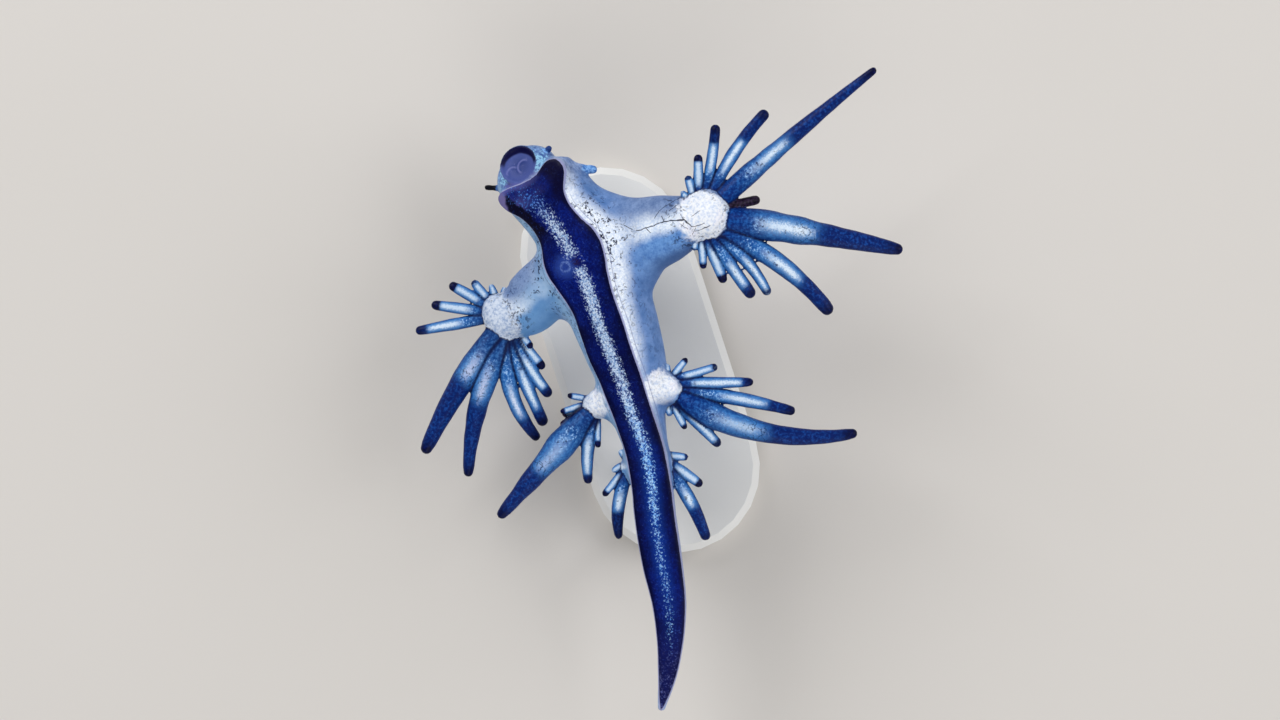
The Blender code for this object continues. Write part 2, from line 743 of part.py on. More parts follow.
def build_head():
    head = head_piece("head", flank_silver())
    join_all(head, [lip_ring(flank_silver())])
    cut_by(head, mouth_cutter(flank_silver()))
    slice_off(head, head_place(HEAD_BACK, 0.0, 0.0), -body_frame(0.0)[3])
    finish(head)


def build_feelers():
    for name in FEELERS:
        feeler = feeler_piece(name, feeler_blue())
        if name.startswith("oral"):
            cut_by(feeler, head_piece("cutter", feeler_blue(), grow=GAP))
        cut_by(feeler, body_cutter(-FRONT_LOBE, NECK_END))
        finish(feeler)


def hub_face_point(key, extra):
    centre, outward, _, _ = hub_frame(key)
    return centre - outward * (HUBS[key].along * HUB_FACE + extra), outward


def build_front_arms():
    for key in ("front_right", "front_left"):
        arm = arm_piece("arm_" + key, flank_silver())
        cut_by(arm, body_cutter(*ARM_SPANS["front"]))
        point, outward = hub_face_point(key, GAP)
        slice_off(arm, point, outward)
        finish(arm)


def build_front_cerata():
    for key, split in HUB_SPLIT.items():
        centre = hub_frame(key)[0]
        angle = math.radians(split)
        aside = Vector((-math.sin(angle), math.cos(angle), 0))
        fore = 1 if key == "front_right" else -1
        for part, sign in (("fore", -fore), ("aft", fore)):
            name = f"{key}_{part}"
            hub = hub_piece(key, ceras_blue())
            join_all(hub, [ceras_piece(key, c, ceras_blue()) for c in CERATA[name]])
            hub.name = "cerata_" + name
            slice_off(hub, centre - aside * sign * GAP / 2, aside * sign)
            point, outward = hub_face_point(key, 0.0)
            slice_off(hub, point, -outward)
            finish(hub)


def build_small_arms():
    for key in ("mid_right", "mid_left", "rear_right", "rear_left"):
        arm = arm_piece("arm_" + key, ceras_blue())
        others = [ceras_piece(key, c, ceras_blue()) for c in CERATA[key]]
        join_all(arm, [hub_piece(key, ceras_blue())] + others)
        cut_by(arm, body_cutter(*ARM_SPANS[key.split("_")[0]]))
        finish(arm)


def base_outline(shrink):
    """A bar with round ends, shrunk by a bevel's width."""
    radius = BASE_WIDE / 2 - shrink
    straight = (BASE_LONG - BASE_WIDE) / 2
    turn = Matrix.Rotation(math.radians(BASE_TURN), 3, "Z")
    points = []
    for sign in (1, -1):
        for i in range(BASE_ARC_STEPS + 1):
            angle = math.pi * i / BASE_ARC_STEPS + (0 if sign == 1 else math.pi)
            x = radius * math.cos(angle)
            y = radius * math.sin(angle) + sign * straight
            points.append(turn @ Vector((x, y, 0)))
    return points


def build_stand():
    levels = ((0.0, 0.0), (BASE_HIGH - BASE_BEVEL, 0.0), (BASE_HIGH, BASE_BEVEL))
    rings = [[p + Vector((0, 0, z)) for p in base_outline(shrink)] for z, shrink in levels]
    finish(loft("stand_base", rings, stand_white()), angle=30)
    for name, along in ROD_ALONG.items():
        axis = body_frame(along)[0]
        foot = Vector((axis.x, axis.y, BASE_HIGH + GAP))
        east, north = Vector((1, 0, 0)), Vector((0, 1, 0))
        rings = [ellipse_ring(Vector((axis.x, axis.y, z)), east, north,
                              ROD_RADIUS, ROD_RADIUS, ROD_SIDES) for z in (foot.z, axis.z)]
        rod = loft(name, rings, rod_steel())
        cut_by(rod, body_cutter(along - ROD_SPAN, along + ROD_SPAN))
        finish(rod, angle=30)


def main():
    clear_scene()
    build_body()
    build_head()
    build_feelers()
    build_front_arms()
    build_front_cerata()
    build_small_arms()
    build_stand()


main()
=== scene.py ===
"""The looks of the blue dragon sea slug model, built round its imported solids.

One skin stands for all the nodes of flesh. Its shape is a signed distance field that joins
the body, head, arms, hubs, cerata and feelers with soft creases, and its surface is taken
off that field as a mesh. Sizes are in millimetres until the mesh is made, and in the same
frame as the solids: +Y runs to the head, +X to the flank that is turned up, +Z up.
"""
import math
from collections import namedtuple

import bpy
import numpy as np
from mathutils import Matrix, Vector, noise


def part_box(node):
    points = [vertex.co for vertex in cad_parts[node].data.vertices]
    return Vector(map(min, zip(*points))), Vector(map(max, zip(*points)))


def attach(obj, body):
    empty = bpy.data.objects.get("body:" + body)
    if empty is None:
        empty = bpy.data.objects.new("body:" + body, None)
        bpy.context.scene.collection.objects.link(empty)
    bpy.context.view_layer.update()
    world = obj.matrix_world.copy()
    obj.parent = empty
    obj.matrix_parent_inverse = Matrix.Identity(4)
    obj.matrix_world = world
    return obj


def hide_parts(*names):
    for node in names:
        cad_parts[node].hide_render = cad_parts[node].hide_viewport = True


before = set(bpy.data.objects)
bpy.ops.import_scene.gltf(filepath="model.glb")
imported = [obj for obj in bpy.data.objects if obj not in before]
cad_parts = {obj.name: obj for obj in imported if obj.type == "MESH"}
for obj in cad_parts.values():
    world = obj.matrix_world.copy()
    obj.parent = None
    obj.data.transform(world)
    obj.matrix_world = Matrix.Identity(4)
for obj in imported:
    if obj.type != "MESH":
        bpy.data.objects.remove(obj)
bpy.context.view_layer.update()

MM = 0.001
STEP = 0.13      # spacing of the field that the skin is taken off
FAR = 5.0                                # the field's value away from every shape
REACH = 0.9                              # how far round a shape its distance is worked out

# The solids' measures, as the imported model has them. BODY are stations of the sole's
# midline from its front edge to the tip of the tail.
Station = namedtuple("Station", "x y z wide deep sole bank")
BODY = (
    Station(-8.07, 12.31, 11.5, 2.80, 1.85, 2.58, 26),
    Station(-7.55, 11.62, 11.7, 2.88, 1.95, 2.52, 26),
    Station(-6.90, 10.80, 11.9, 2.90, 2.10, 1.86, 27),
    Station(-5.80, 9.30, 12.1, 2.92, 2.20, 1.75, 28),
    Station(-4.40, 6.40, 12.3, 3.02, 2.35, 1.88, 29),
    Station(-3.55, 4.20, 12.2, 3.08, 2.35, 1.68, 30),
    Station(-2.40, 1.20, 12.1, 2.87, 2.25, 1.58, 30),
    Station(-1.25, -1.65, 12.0, 2.44, 2.00, 1.52, 26),
    Station(-0.40, -4.10, 11.8, 1.84, 1.65, 1.36, 15),
    Station(0.28, -6.25, 11.7, 1.50, 1.45, 1.38, 8),
    Station(0.72, -8.60, 11.6, 1.34, 1.32, 1.43, 7),
    Station(1.02, -11.10, 11.5, 1.26, 1.25, 1.43, 6),
    Station(1.45, -13.80, 11.3, 1.22, 1.15, 1.40, 5),
    Station(2.00, -17.10, 11.0, 1.02, 0.98, 1.17, 4),
    Station(2.05, -19.70, 10.7, 0.80, 0.80, 0.92, 3),
    Station(1.82, -22.20, 10.3, 0.55, 0.58, 0.61, 2),
    Station(1.50, -24.00, 10.0, 0.28, 0.30, 0.26, 0),
)
# The sole's rim: places along it and how far it reaches to the left and right there
SOLE_RIM = (
    (-0.9, -2.45, 2.60),
    (0.0, -2.62, 2.85),
    (0.7, -2.48, 3.06),
    (1.3, -2.20, 3.04),
    (1.6, -2.08, 2.84),
    (1.9, -2.00, 2.45),
    (2.3, -1.93, 2.05),
    (3.1, -1.88, 1.72),
    (4.3, -1.97, 1.86),
    (5.3, -2.24, 2.32),
    (6.1, -2.38, 2.46),
    (6.9, -2.36, 2.38),
    (8.0, -2.12, 2.07),
    (9.4, -1.80, 1.88),
    (12.0, -1.84, 1.80),
    (13.4, -1.88, 1.66),
    (15.0, -1.74, 1.55),
    (17.5, -1.50, 1.40),
    (20.5, -1.38, 1.38),
    (25.4, -1.43, 1.43),
    (28.2, -1.40, 1.40),
    (31.5, -1.17, 1.17),
    (34.1, -0.92, 0.92),
    (36.6, -0.61, 0.61),
    (37.9, -0.35, 0.35),
    (38.5, -0.19, 0.19),
    (38.9, -0.04, 0.04),
)
SOLE_THICK = 0.45
SOLE_CROWN = 0.20
FLANK_POWER = 0.82
TAIL_POINT = 0.35

# The head as a rounded form ahead of the sole: where its widest ring lies, and its half
# sizes forward, aside and up
HEAD_AT = (0.60, -0.42, -0.15)
HEAD_SIZE = (1.98, 2.40, 1.50)
LIP_AT = (1.25, 0.14, 1.06)
LIP_LEAN = (0.25, 0.32)   # how far the mouth disc leans forward and aside
LIP_RADIUS = 1.20
LIP_TUBE = 0.24

Feeler = namedtuple("Feeler", "ahead round heading turn length width rise")
FEELERS = {
    "oral_tentacle_left": Feeler(1.05, 182, 180, -6, 1.60, 0.42, -0.10),
    "oral_tentacle_right": Feeler(1.00, 14, 32, 10, 0.98, 0.50, 0.40),
    "rhinophore_left": Feeler(-1.10, 205, 228, -20, 0.95, 0.50, -0.30),
    "rhinophore_right": Feeler(-1.10, -14, 6, -16, 1.95, 0.66, -0.10),
}
FEELER_ROOTS = {"rhinophore_right": 1.5, "oral_tentacle_left": 1.6}     # widths at the root
FEELER_SUNK = 0.80

ArmRing = namedtuple("ArmRing", "x y z wide deep")
ARMS = {
    "front_right": (
        ArmRing(-2.47, 7.56, 10.5, 4.20, 1.80),
        ArmRing(-0.59, 8.17, 11.2, 3.55, 1.72),
        ArmRing(0.72, 8.68, 11.7, 2.66, 1.60),
        ArmRing(2.07, 9.12, 12.1, 2.32, 1.45),
        ArmRing(3.40, 9.58, 12.5, 1.82, 1.32),
        ArmRing(4.62, 10.00, 12.9, 1.45, 1.15),
    ),
    "front_left": (
        ArmRing(-3.80, 6.00, 9.9, 3.00, 1.75),
        ArmRing(-5.35, 5.45, 9.4, 2.60, 1.65),
        ArmRing(-6.78, 4.68, 8.9, 2.22, 1.50),
        ArmRing(-7.92, 3.66, 8.5, 2.04, 1.32),
        ArmRing(-9.50, 2.95, 8.1, 1.45, 1.10),
    ),
    "mid_right": (
        ArmRing(-0.60, -1.70, 10.2, 1.75, 1.25),
        ArmRing(0.60, -1.85, 10.5, 1.50, 1.10),
        ArmRing(1.93, -2.07, 10.9, 0.98, 0.85),
    ),
    "mid_left": (
        ArmRing(-0.90, -2.60, 9.9, 1.60, 1.20),
        ArmRing(-2.00, -2.85, 9.7, 1.30, 1.05),
        ArmRing(-3.10, -3.10, 9.4, 0.88, 0.80),
    ),
    "rear_right": (
        ArmRing(0.55, -7.00, 10.3, 0.85, 0.60),
        ArmRing(1.50, -7.10, 10.4, 0.72, 0.52),
    ),
    "rear_left": (
        ArmRing(0.10, -7.30, 10.2, 0.80, 0.60),
        ArmRing(-0.75, -7.40, 10.1, 0.66, 0.50),
    ),
}
Hub = namedtuple("Hub", "x y z along across deep")
HUBS = {
    "front_right": Hub(4.62, 10.00, 12.9, 1.55, 1.72, 1.20),
    "front_left": Hub(-9.66, 2.90, 8.1, 1.20, 1.70, 1.12),
    "mid_right": Hub(1.93, -2.07, 10.9, 0.95, 1.00, 0.85),
    "mid_left": Hub(-3.10, -3.10, 9.4, 0.82, 0.88, 0.80),
    "rear_right": Hub(1.50, -7.10, 10.4, 0.55, 0.70, 0.52),
    "rear_left": Hub(-0.75, -7.40, 10.1, 0.50, 0.64, 0.50),
}

# Cerata: where each grows round the hub's rim, its heading and turn, its length, greatest
# width and the rise of its tip, and its width at the tip, the place of its greatest width
# and its width at the hub, as shares. lit and end are the shares of its length between
# which its silver core shows, shine is how bright it is, and stump marks the dark worn ones.
Ceras = namedtuple(
    "Ceras", "round heading turn length width rise point peak base lit end shine stump",
    defaults=(0.85, 0.45, 0.80, None, None, 1.0, 0.0),
)
CERATA = {
    "front_right": (
        Ceras(144, 128, 0, 0.90, 0.50, 0.1),
        Ceras(128, 106, 0, 1.50, 0.62, 0.2),
        Ceras(112, 91, 0, 2.65, 0.74, 0.4),
        Ceras(96, 75, 12, 4.65, 0.78, 0.6, 0.92, end=0.74),
        Ceras(77, 66, -20, 6.75, 0.92, 0.8, 0.88, lit=0.22, end=0.62),
        Ceras(48, 42, -4, 13.8, 1.40, 1.2, 0.36, 0.19, 0.93, lit=0.20, end=0.43),
        Ceras(22, 13, 0, 2.35, 0.70, -1.0, 0.95, stump=1.0),
        Ceras(-14, -8, -4, 12.2, 2.12, -0.2, 0.40, 0.27, 0.76, lit=0.17, end=0.50),
        Ceras(-49, -22, -30, 9.50, 1.33, -0.6, 0.70, 0.42, 0.75, lit=0.34, end=0.67),
        Ceras(-65, -34, -30, 5.50, 0.94, -0.6, 0.72, lit=0.42, end=0.93),
        Ceras(-80, -56, 2, 5.05, 0.95, -0.8, 0.88, lit=0.40, end=0.82),
        Ceras(-93, -69, 2, 3.40, 0.78, -0.5),
        Ceras(-106, -86, 0, 2.30, 0.60, -0.2),
        Ceras(-117, -102, 0, 1.20, 0.50, 0.0),
    ),
    "front_left": (
        Ceras(84, 84, 0, 0.80, 0.50, 0.1),
        Ceras(104, 112, 0, 0.95, 0.55, 0.1),
        Ceras(124, 130, 0, 1.75, 0.68, 0.2),
        Ceras(140, 147, 6, 2.90, 0.80, 0.2),
        Ceras(160, 171, 2, 3.70, 0.80, 0.0),
        Ceras(183, 189, 2, 4.90, 0.86, -0.3, 0.75),
        Ceras(-110, -128, 14, 9.60, 1.72, -0.9, 0.50, 0.36, 0.88, lit=0.16, end=0.39, shine=0.7),
        Ceras(-87, -116, 24, 9.95, 1.70, -1.2, 0.40, 0.27, 0.72, lit=0.20, end=0.47, shine=0.7),
        Ceras(-74, -98, 51, 7.55, 1.14, -0.8, 0.62, 0.45, 0.70, lit=0.42, end=0.74),
        Ceras(-67, -72, 8, 6.50, 0.96, -0.3, lit=0.34, end=0.80),
        Ceras(-58, -64, 13, 4.90, 0.90, 0.1, lit=0.30, end=0.85),
        Ceras(-46, -52, 2, 3.15, 0.70, 0.3, 0.90),
        Ceras(-37, -49, 0, 1.60, 0.60, 0.4),
        Ceras(-20, -22, 0, 0.95, 0.50, 0.3),
    ),
    "mid_right": (
        Ceras(92, 90, 0, 0.90, 0.50, 0.1),
        Ceras(74, 51, 0, 1.70, 0.56, 0.2),
        Ceras(56, 16, 2, 3.05, 0.66, 0.3, end=0.88),
        Ceras(32, 0, 2, 5.15, 0.86, 0.4, 0.68, lit=0.18, end=0.84),
        Ceras(-2, -6, -9, 8.05, 1.03, 0.2, 0.66, 0.50, 0.65, lit=0.34, end=0.74, shine=0.8),
        Ceras(-30, -34, 45, 12.9, 1.88, -0.3, 0.38, 0.22, 0.60, lit=0.20, end=0.50, shine=0.45),
        Ceras(-52, -46, 0, 4.40, 0.88, -0.5, 0.74, lit=0.30, end=0.88),
        Ceras(-74, -62, 0, 2.10, 0.55, -0.2),
        Ceras(-94, -78, 0, 0.95, 0.50, 0.0),
    ),
    "mid_left": (
        Ceras(146, 170, 0, 1.30, 0.50, 0.3),
        Ceras(178, 198, 0, 1.75, 0.50, 0.1),
        Ceras(-168, -160, 0, 1.65, 0.50, -0.5, stump=0.6),
        Ceras(-146, -151, 0, 2.05, 0.54, -0.5, stump=0.9),
        Ceras(-124, -132, 2, 9.55, 1.98, -0.7, 0.37, 0.31, 0.62, lit=0.24, end=0.54, shine=0.35),
        Ceras(-94, -108, 26, 4.75, 1.00, -0.6, 0.62, 0.42, 0.70, lit=0.30, end=0.86),
        Ceras(-76, -90, 0, 2.20, 0.50, 0.4),
    ),
    "rear_right": (
        Ceras(60, -6, 0, 1.55, 0.64, 0.1),
        Ceras(10, -36, 0, 2.85, 0.76, -0.1),
        Ceras(-40, -51, -21, 5.75, 0.98, -0.6, 0.75, lit=0.28, end=0.56),
    ),
    "rear_left": (
        Ceras(110, 127, 0, 0.80, 0.50, 0.1),
        Ceras(160, 212, 0, 0.90, 0.50, 0.1),
        Ceras(-150, -128, 0, 2.25, 0.56, -0.1),
        Ceras(-104, -114, 34, 4.55, 0.99, -0.6, 0.58, lit=0.25, end=0.58),
    ),
}
CERAS_RIM = 0.92
CERAS_SUNK = 0.40
CERAS_UNEVEN = 0.07      # how far a ceras's width wanders, as a share
CERAS_PIECE = 0.40       # length of the straight pieces that a ceras's path is made of

# How soft the creases are where one form runs into another
SOFT_BODY = 0.18
SOFT_HEAD = 0.55
SOFT_ARM = 1.00
SOFT_HUB = 0.30
SOFT_FEELER = 0.22
SOFT_ROOT = 0.12
SOFT_CERATA = 0.05


def hermite(table, places, at):
    """Rows of a table at places between its own, on curves that pass through each row."""
    rows = np.array(table, dtype=float)
    slopes = np.gradient(rows, places, axis=0)
    k = np.clip(np.searchsorted(places, at) - 1, 0, len(places) - 2)
    span = (places[k + 1] - places[k])[:, None]
    raw = (at - places[k])[:, None] / span
    t = np.clip(raw, 0, 1)
    curve = (
        rows[k] * (1 + 2 * t) * (1 - t) ** 2
        + rows[k + 1] * t * t * (3 - 2 * t)
        + slopes[k] * span * t * (1 - t) ** 2
        - slopes[k + 1] * span * t * t * (1 - t)
    )
    beyond = (raw - t) * span
    return curve + beyond * np.where(raw < 0, slopes[k], slopes[k + 1])


def distances(table):
    """How far along its path each row of a table lies."""
    path = np.array([row[:3] for row in table])
    return np.concatenate([[0.0], np.cumsum(np.linalg.norm(np.diff(path, axis=0), axis=1))])


def unit(vectors):
    return vectors / np.linalg.norm(vectors, axis=-1, keepdims=True)


def smooth_min(a, b, soft):
    """The lesser of two distances, with a soft crease."""
    if soft <= 0:
        return np.minimum(a, b)
    share = np.clip(0.5 + 0.5 * (b - a) / soft, 0, 1)
    return b * (1 - share) + a * share - soft * share * (1 - share)


def smooth_max(a, b, soft):
    return -smooth_min(-a, -b, soft)


def ramp(value, low, high):
    """0 below low, 1 above high and a smooth rise between."""
    t = np.clip((value - low) / (high - low), 0, 1)
    return t * t * (3 - 2 * t)


class Body:
    """The body's frames at close places along the sole, and distances to its skin."""

    FRONT = -0.9
    COUNT = 1000

    def __init__(self):
        places = distances(BODY)
        self.length = places[-1]
        self.at = np.linspace(self.FRONT, self.length + TAIL_POINT, self.COUNT)
        rows = hermite(BODY, places, self.at)
        tail = self.at > self.length
        shrink = np.sqrt(np.clip(1 - ((self.at - self.length) / TAIL_POINT) ** 2, 1e-4, 1))
        rows[tail, 3:6] = rows[~tail][-1, 3:6] * shrink[tail, None]
        forward = unit(-np.gradient(rows[:, :3], self.at, axis=0))
        level = unit(np.cross(forward, [0.0, 0.0, 1.0]))
        plumb = np.cross(level, forward)
        roll = np.radians(rows[:, 6])[:, None]
        side = level * np.cos(roll) + plumb * np.sin(roll)
        up = plumb * np.cos(roll) - level * np.sin(roll)
        deep = rows[:, 4:5].copy()
        deep[tail] = rows[~tail][-1, 4] * 0.8
        self.table = np.hstack([rows[:, :3] - up * deep, side, up, forward, rows[:, 3:6]])

    def rows(self, at):
        """Axis point, side, up, forward and half sizes at places along the sole."""
        share = np.clip((at - self.at[0]) / (self.at[-1] - self.at[0]), 0, 1) * (self.COUNT - 1)
        k = np.minimum(share.astype(int), self.COUNT - 2)
        t = (share - k)[:, None]
        row = self.table[k] * (1 - t) + self.table[k + 1] * t
        return row[:, :3], row[:, 3:6], row[:, 6:9], row[:, 9:12], row[:, 12], row[:, 13], row[:, 14]

    def place(self, points):
        """Where points lie: along the sole, aside and up from the axis, and the sizes there."""
        order = np.argsort(self.table[:, 1])
        at = np.interp(points[:, 1], self.table[order, 1], self.at[order])
        for _ in range(5):
            axis, _, _, forward, *_ = self.rows(at)
            at = np.clip(at - np.sum((points - axis) * forward, 1), self.FRONT, self.at[-1])
        axis, side, up, forward, wide, deep, sole = self.rows(at)
        gap = points - axis
        ahead = np.sum(gap * forward, 1)
        return at - ahead, np.sum(gap * side, 1), np.sum(gap * up, 1), wide, deep, sole

    def distance(self, points):
        at, across, high, wide, deep, sole = self.place(points)
        power = 2 / FLANK_POWER
        grown = ((np.abs(across) / wide) ** power + (np.abs(high) / deep) ** power) ** (1 / power)
        radius = np.hypot(across, high)
        flank = np.where(grown > 1e-6, radius * (1 - 1 / np.maximum(grown, 1e-6)), -deep)
        thick = np.minimum(SOLE_THICK, 0.4 * deep)
        flank = smooth_max(flank, high - (deep - thick), SOFT_BODY)
        edge, share = sole_edge(at, across)
        top = deep - np.minimum(SOLE_CROWN, 0.2 * deep) * np.clip(share, -1, 1) ** 2
        slab = smooth_max(smooth_max(edge, high - top, 0.16), (deep - 2.5 * thick) - high, 0.1)
        flank = smooth_max(flank, -0.25 - at, 0.8)
        whole = smooth_min(flank, slab, SOFT_BODY)
        return smooth_max(whole, at - (self.length + TAIL_POINT), 0.1)

    def point(self, at, across=0.0, high=0.0):
        """A point given along the sole, aside and up from the axis."""
        axis, side, up, forward, *_ = self.rows(np.array([float(at)]))
        return axis[0] + side[0] * across + up[0] * high, side[0], up[0], forward[0]


# The sole's front edge between its two round lobes: places across it and how far back it lies
SOLE_FRONT = (
    (-2.60, -0.75), (-2.00, -0.65), (-1.30, -0.45), (-0.34, -0.05), (0.50, 0.20),
    (1.12, 0.25), (1.63, 0.12), (2.09, 0.02), (3.10, 0.04),
)
LOBE_ROUND = 0.65


def sole_edge(at, across):
    """How far a place lies outside the sole's outline, and its share from rim to rim."""
    left, right = SOLE_SPAN(at)
    half = (right - left) / 2
    share = (across - (left + right) / 2) / half
    front = np.interp(across, *zip(*SOLE_FRONT))
    past = np.clip((np.abs(share) - 1) * half / LOBE_ROUND + 1, 0, 1)
    front = front + LOBE_ROUND * (1 - np.sqrt(1 - 0.98 * past ** 2))
    return smooth_max((np.abs(share) - 1) * half, front - at, 0.12), share


def rim_span(table):
    """A function that gives the sole's left and right reach at places along it."""
    rows = np.array(table)
    close = np.linspace(rows[0, 0], rows[-1, 0], 400)
    smooth = hermite(rows[:, 1:], rows[:, 0], close)
    return lambda at: (np.interp(at, close, smooth[:, 0]), np.interp(at, close, smooth[:, 1]))


SOLE_SPAN = rim_span(SOLE_RIM)
BODY_SHAPE = Body()


def head_place(ahead, aside, lift):
    """A point given by its distances ahead of the sole's front, aside and up."""
    point, side, up, forward = BODY_SHAPE.point(0.0)
    return point + forward * ahead + side * aside + up * lift


def head_distance(points):
    centre = head_place(*HEAD_AT)
    _, side, up, forward = BODY_SHAPE.point(0.0)
    gap = points - centre
    power = 2 / FLANK_POWER
    ahead = np.abs(gap @ forward) / HEAD_SIZE[0]
    section = (
        (np.abs(gap @ side) / HEAD_SIZE[1]) ** power + (np.abs(gap @ up) / HEAD_SIZE[2]) ** power
    ) ** (1 / power)
    grown = np.maximum(np.hypot(section, ahead), 1e-6)
    return np.linalg.norm(gap, axis=1) * (1 - 1 / grown)


def mouth_axes():
    """The mouth disc's centre and its side, slit and outward directions."""
    _, side, up, forward = BODY_SHAPE.point(0.0)
    outward = unit(up + forward * LIP_LEAN[0] + side * LIP_LEAN[1])
    side = unit(side - outward * (side @ outward))
    return head_place(*LIP_AT), side, np.cross(outward, side), outward


def mouth_place(points):
    """Points in the mouth disc's own directions: aside, along its slit and outward."""
    centre, side, along, outward = mouth_axes()
    gap = points - centre
    return gap @ side, gap @ along, gap @ outward


def lip_distance(points):
    x, y, z = mouth_place(points)
    return np.hypot(np.hypot(x, y) - LIP_RADIUS, z) - LIP_TUBE


# The mouth disc: a shallow bowl inside the lip, with two curved folds in it
BOWL_DEEP = 0.22
FOLDS = ((-0.66, -0.16, 0.40, 10, 200), (0.24, -0.26, 0.48, 20, 230))
FOLD_HALF = 0.09
FOLD_HIGH = 0.12


def mouth_bowl(points):
    """A lens that is pressed into the head inside the lip."""
    x, y, z = mouth_place(points)
    share = np.hypot(x, y) / LIP_RADIUS
    floor = 0.06 - BOWL_DEEP * (1 - np.clip(share, 0, 1) ** 2) + FOLD_HIGH * fold_share(x, y)
    return smooth_max(floor - z, np.hypot(x, y) - LIP_RADIUS, 0.2)


def fold_share(x, y):
    """1 on the crests of the two folds in the mouth, 0 away from them."""
    best = np.zeros_like(x)
    for fold_x, fold_y, radius, start, end in FOLDS:
        turned = np.degrees(np.arctan2(y - fold_y, x - fold_x)) % 360
        inside = ramp(turned, start, start + 40) * (1 - ramp(turned, end - 40, end))
        crest = np.exp(-((np.hypot(x - fold_x, y - fold_y) - radius) / FOLD_HALF) ** 2)
        best = np.maximum(best, crest * inside)
    return best


class Tube:
    """A round tube along a path, with a radius at each point of it."""

    def __init__(self, path, radii):
        self.path = np.array(path, dtype=float)
        self.radii = np.asarray(radii, dtype=float)
        along = unit(np.gradient(self.path, axis=0))
        self.across = unit(np.cross(along, [0.0, 0.0, 1.0]))
        self.up = np.cross(self.across, along)
        self.steps = np.concatenate(
            [[0.0], np.cumsum(np.linalg.norm(np.diff(self.path, axis=0), axis=1))]
        )

    def segment(self, i, points):
        """Distance to one piece of the tube, and the place in it of each point."""
        a, b = self.path[i], self.path[i + 1]
        t = np.clip(((points - a) @ (b - a)) / ((b - a) @ (b - a)), 0, 1)
        gap = points - (a + t[:, None] * (b - a))
        return np.linalg.norm(gap, axis=1) - (self.radii[i] * (1 - t) + self.radii[i + 1] * t), t

    def boxes(self):
        """Each piece's number and the corners of the box round it."""
        for i in range(len(self.path) - 1):
            size = self.radii[i:i + 2].max()
            pair = self.path[i:i + 2]
            yield i, pair.min(0) - size, pair.max(0) + size

    def distance(self, points):
        return self.place(points)[0]

    def place(self, points):
        """Distance, length along the path, and aside and up as shares of the radius."""
        best = np.full(len(points), FAR)
        along = np.zeros(len(points))
        which = np.zeros(len(points), dtype=int)
        for i, low, high in self.boxes():
            near = np.all((points > low - REACH) & (points < high + REACH), axis=1)
            if not near.any():
                continue
            gap, t = self.segment(i, points[near])
            rows = np.flatnonzero(near)
            closer = gap < best[rows]
            rows, gap, t = rows[closer], gap[closer], t[closer]
            best[rows] = gap
            along[rows] = self.steps[i] + t * (self.steps[i + 1] - self.steps[i])
            which[rows] = i
        here = np.stack([np.interp(along, self.steps, self.path[:, k]) for k in range(3)], 1)
        gap = points - here
        radius = np.interp(along, self.steps, self.radii)
        aside = np.sum(gap * self.across[which], 1) / radius
        lift = np.sum(gap * self.up[which], 1) / radius
        return best, along, aside, lift


class Ellipsoid:
    def __init__(self, centre, axes, sizes):
        self.centre, self.axes, self.sizes = centre, axes, sizes

    def grown(self, points):
        gap = points - self.centre
        shares = [gap @ axis / size for axis, size in zip(self.axes, self.sizes)]
        return np.maximum(np.sqrt(sum(s * s for s in shares)), 1e-6)

    def distance(self, points):
        return np.linalg.norm(points - self.centre, axis=1) * (1 - 1 / self.grown(points))


class Arm:
    """An oval form along a curved path, like the solids' arms."""

    COUNT = 240

    def __init__(self, table):
        places = distances(table)
        self.length = places[-1]
        self.at = np.linspace(0, self.length, self.COUNT)
        self.rows = hermite(table, places, self.at)
        self.along = unit(np.gradient(self.rows[:, :3], self.at, axis=0))
        self.across = unit(np.cross(self.along, [0.0, 0.0, 1.0]))
        self.up = np.cross(self.across, self.along)

    def place(self, points):
        """Distance, and where points lie along, across and up, the last two as shares."""
        coarse = self.rows[::12, :3]
        nearest = np.argmin(
            [np.sum((points - here) ** 2, axis=1) for here in coarse], axis=0
        )
        at = self.at[::12][nearest]
        for _ in range(6):
            k = self.nearest_row(at)
            at = np.clip(at + 0.7 * np.sum((points - self.rows[k, :3]) * self.along[k], 1),
                         0, self.length)
        k = self.nearest_row(at)
        here = np.stack([np.interp(at, self.at, self.rows[:, axis]) for axis in range(3)], 1)
        gap = points - here
        side = np.sum(gap * self.across[k], 1)
        lift = np.sum(gap * self.up[k], 1)
        past = np.abs(np.sum(gap * self.along[k], 1))
        wide = np.interp(at, self.at, self.rows[:, 3])
        deep = np.interp(at, self.at, self.rows[:, 4])
        grown = np.maximum(np.hypot(side / wide, lift / deep), 1e-6)
        round_gap = np.hypot(side, lift) * (1 - 1 / grown)
        beyond = np.where((at <= 0) | (at >= self.length), past, 0)
        return np.hypot(np.maximum(round_gap, 0), beyond) + np.minimum(round_gap, 0), at, side / wide, lift / deep

    def nearest_row(self, at):
        return np.rint(at / self.length * (self.COUNT - 1)).astype(int)

    def distance(self, points):
        return self.place(points)[0]

    def corners(self):
        size = self.rows[:, 3:4]
        return (self.rows[:, :3] - size).min(0), (self.rows[:, :3] + size).max(0)


def hub_axes(key):
    """The hub's centre and its outward, across and up directions."""
    hub = HUBS[key]
    outward = unit(np.array(ARMS[key][-1][:3]) - np.array(ARMS[key][-2][:3]))
    across = unit(np.cross(outward, [0.0, 0.0, 1.0]))
    return np.array([hub.x, hub.y, hub.z]), outward, across, np.cross(across, outward)


def hub_shape(key):
    centre, outward, across, up = hub_axes(key)
    hub = HUBS[key]
    return Ellipsoid(centre, (outward, across, up), (hub.along, hub.across, hub.deep))


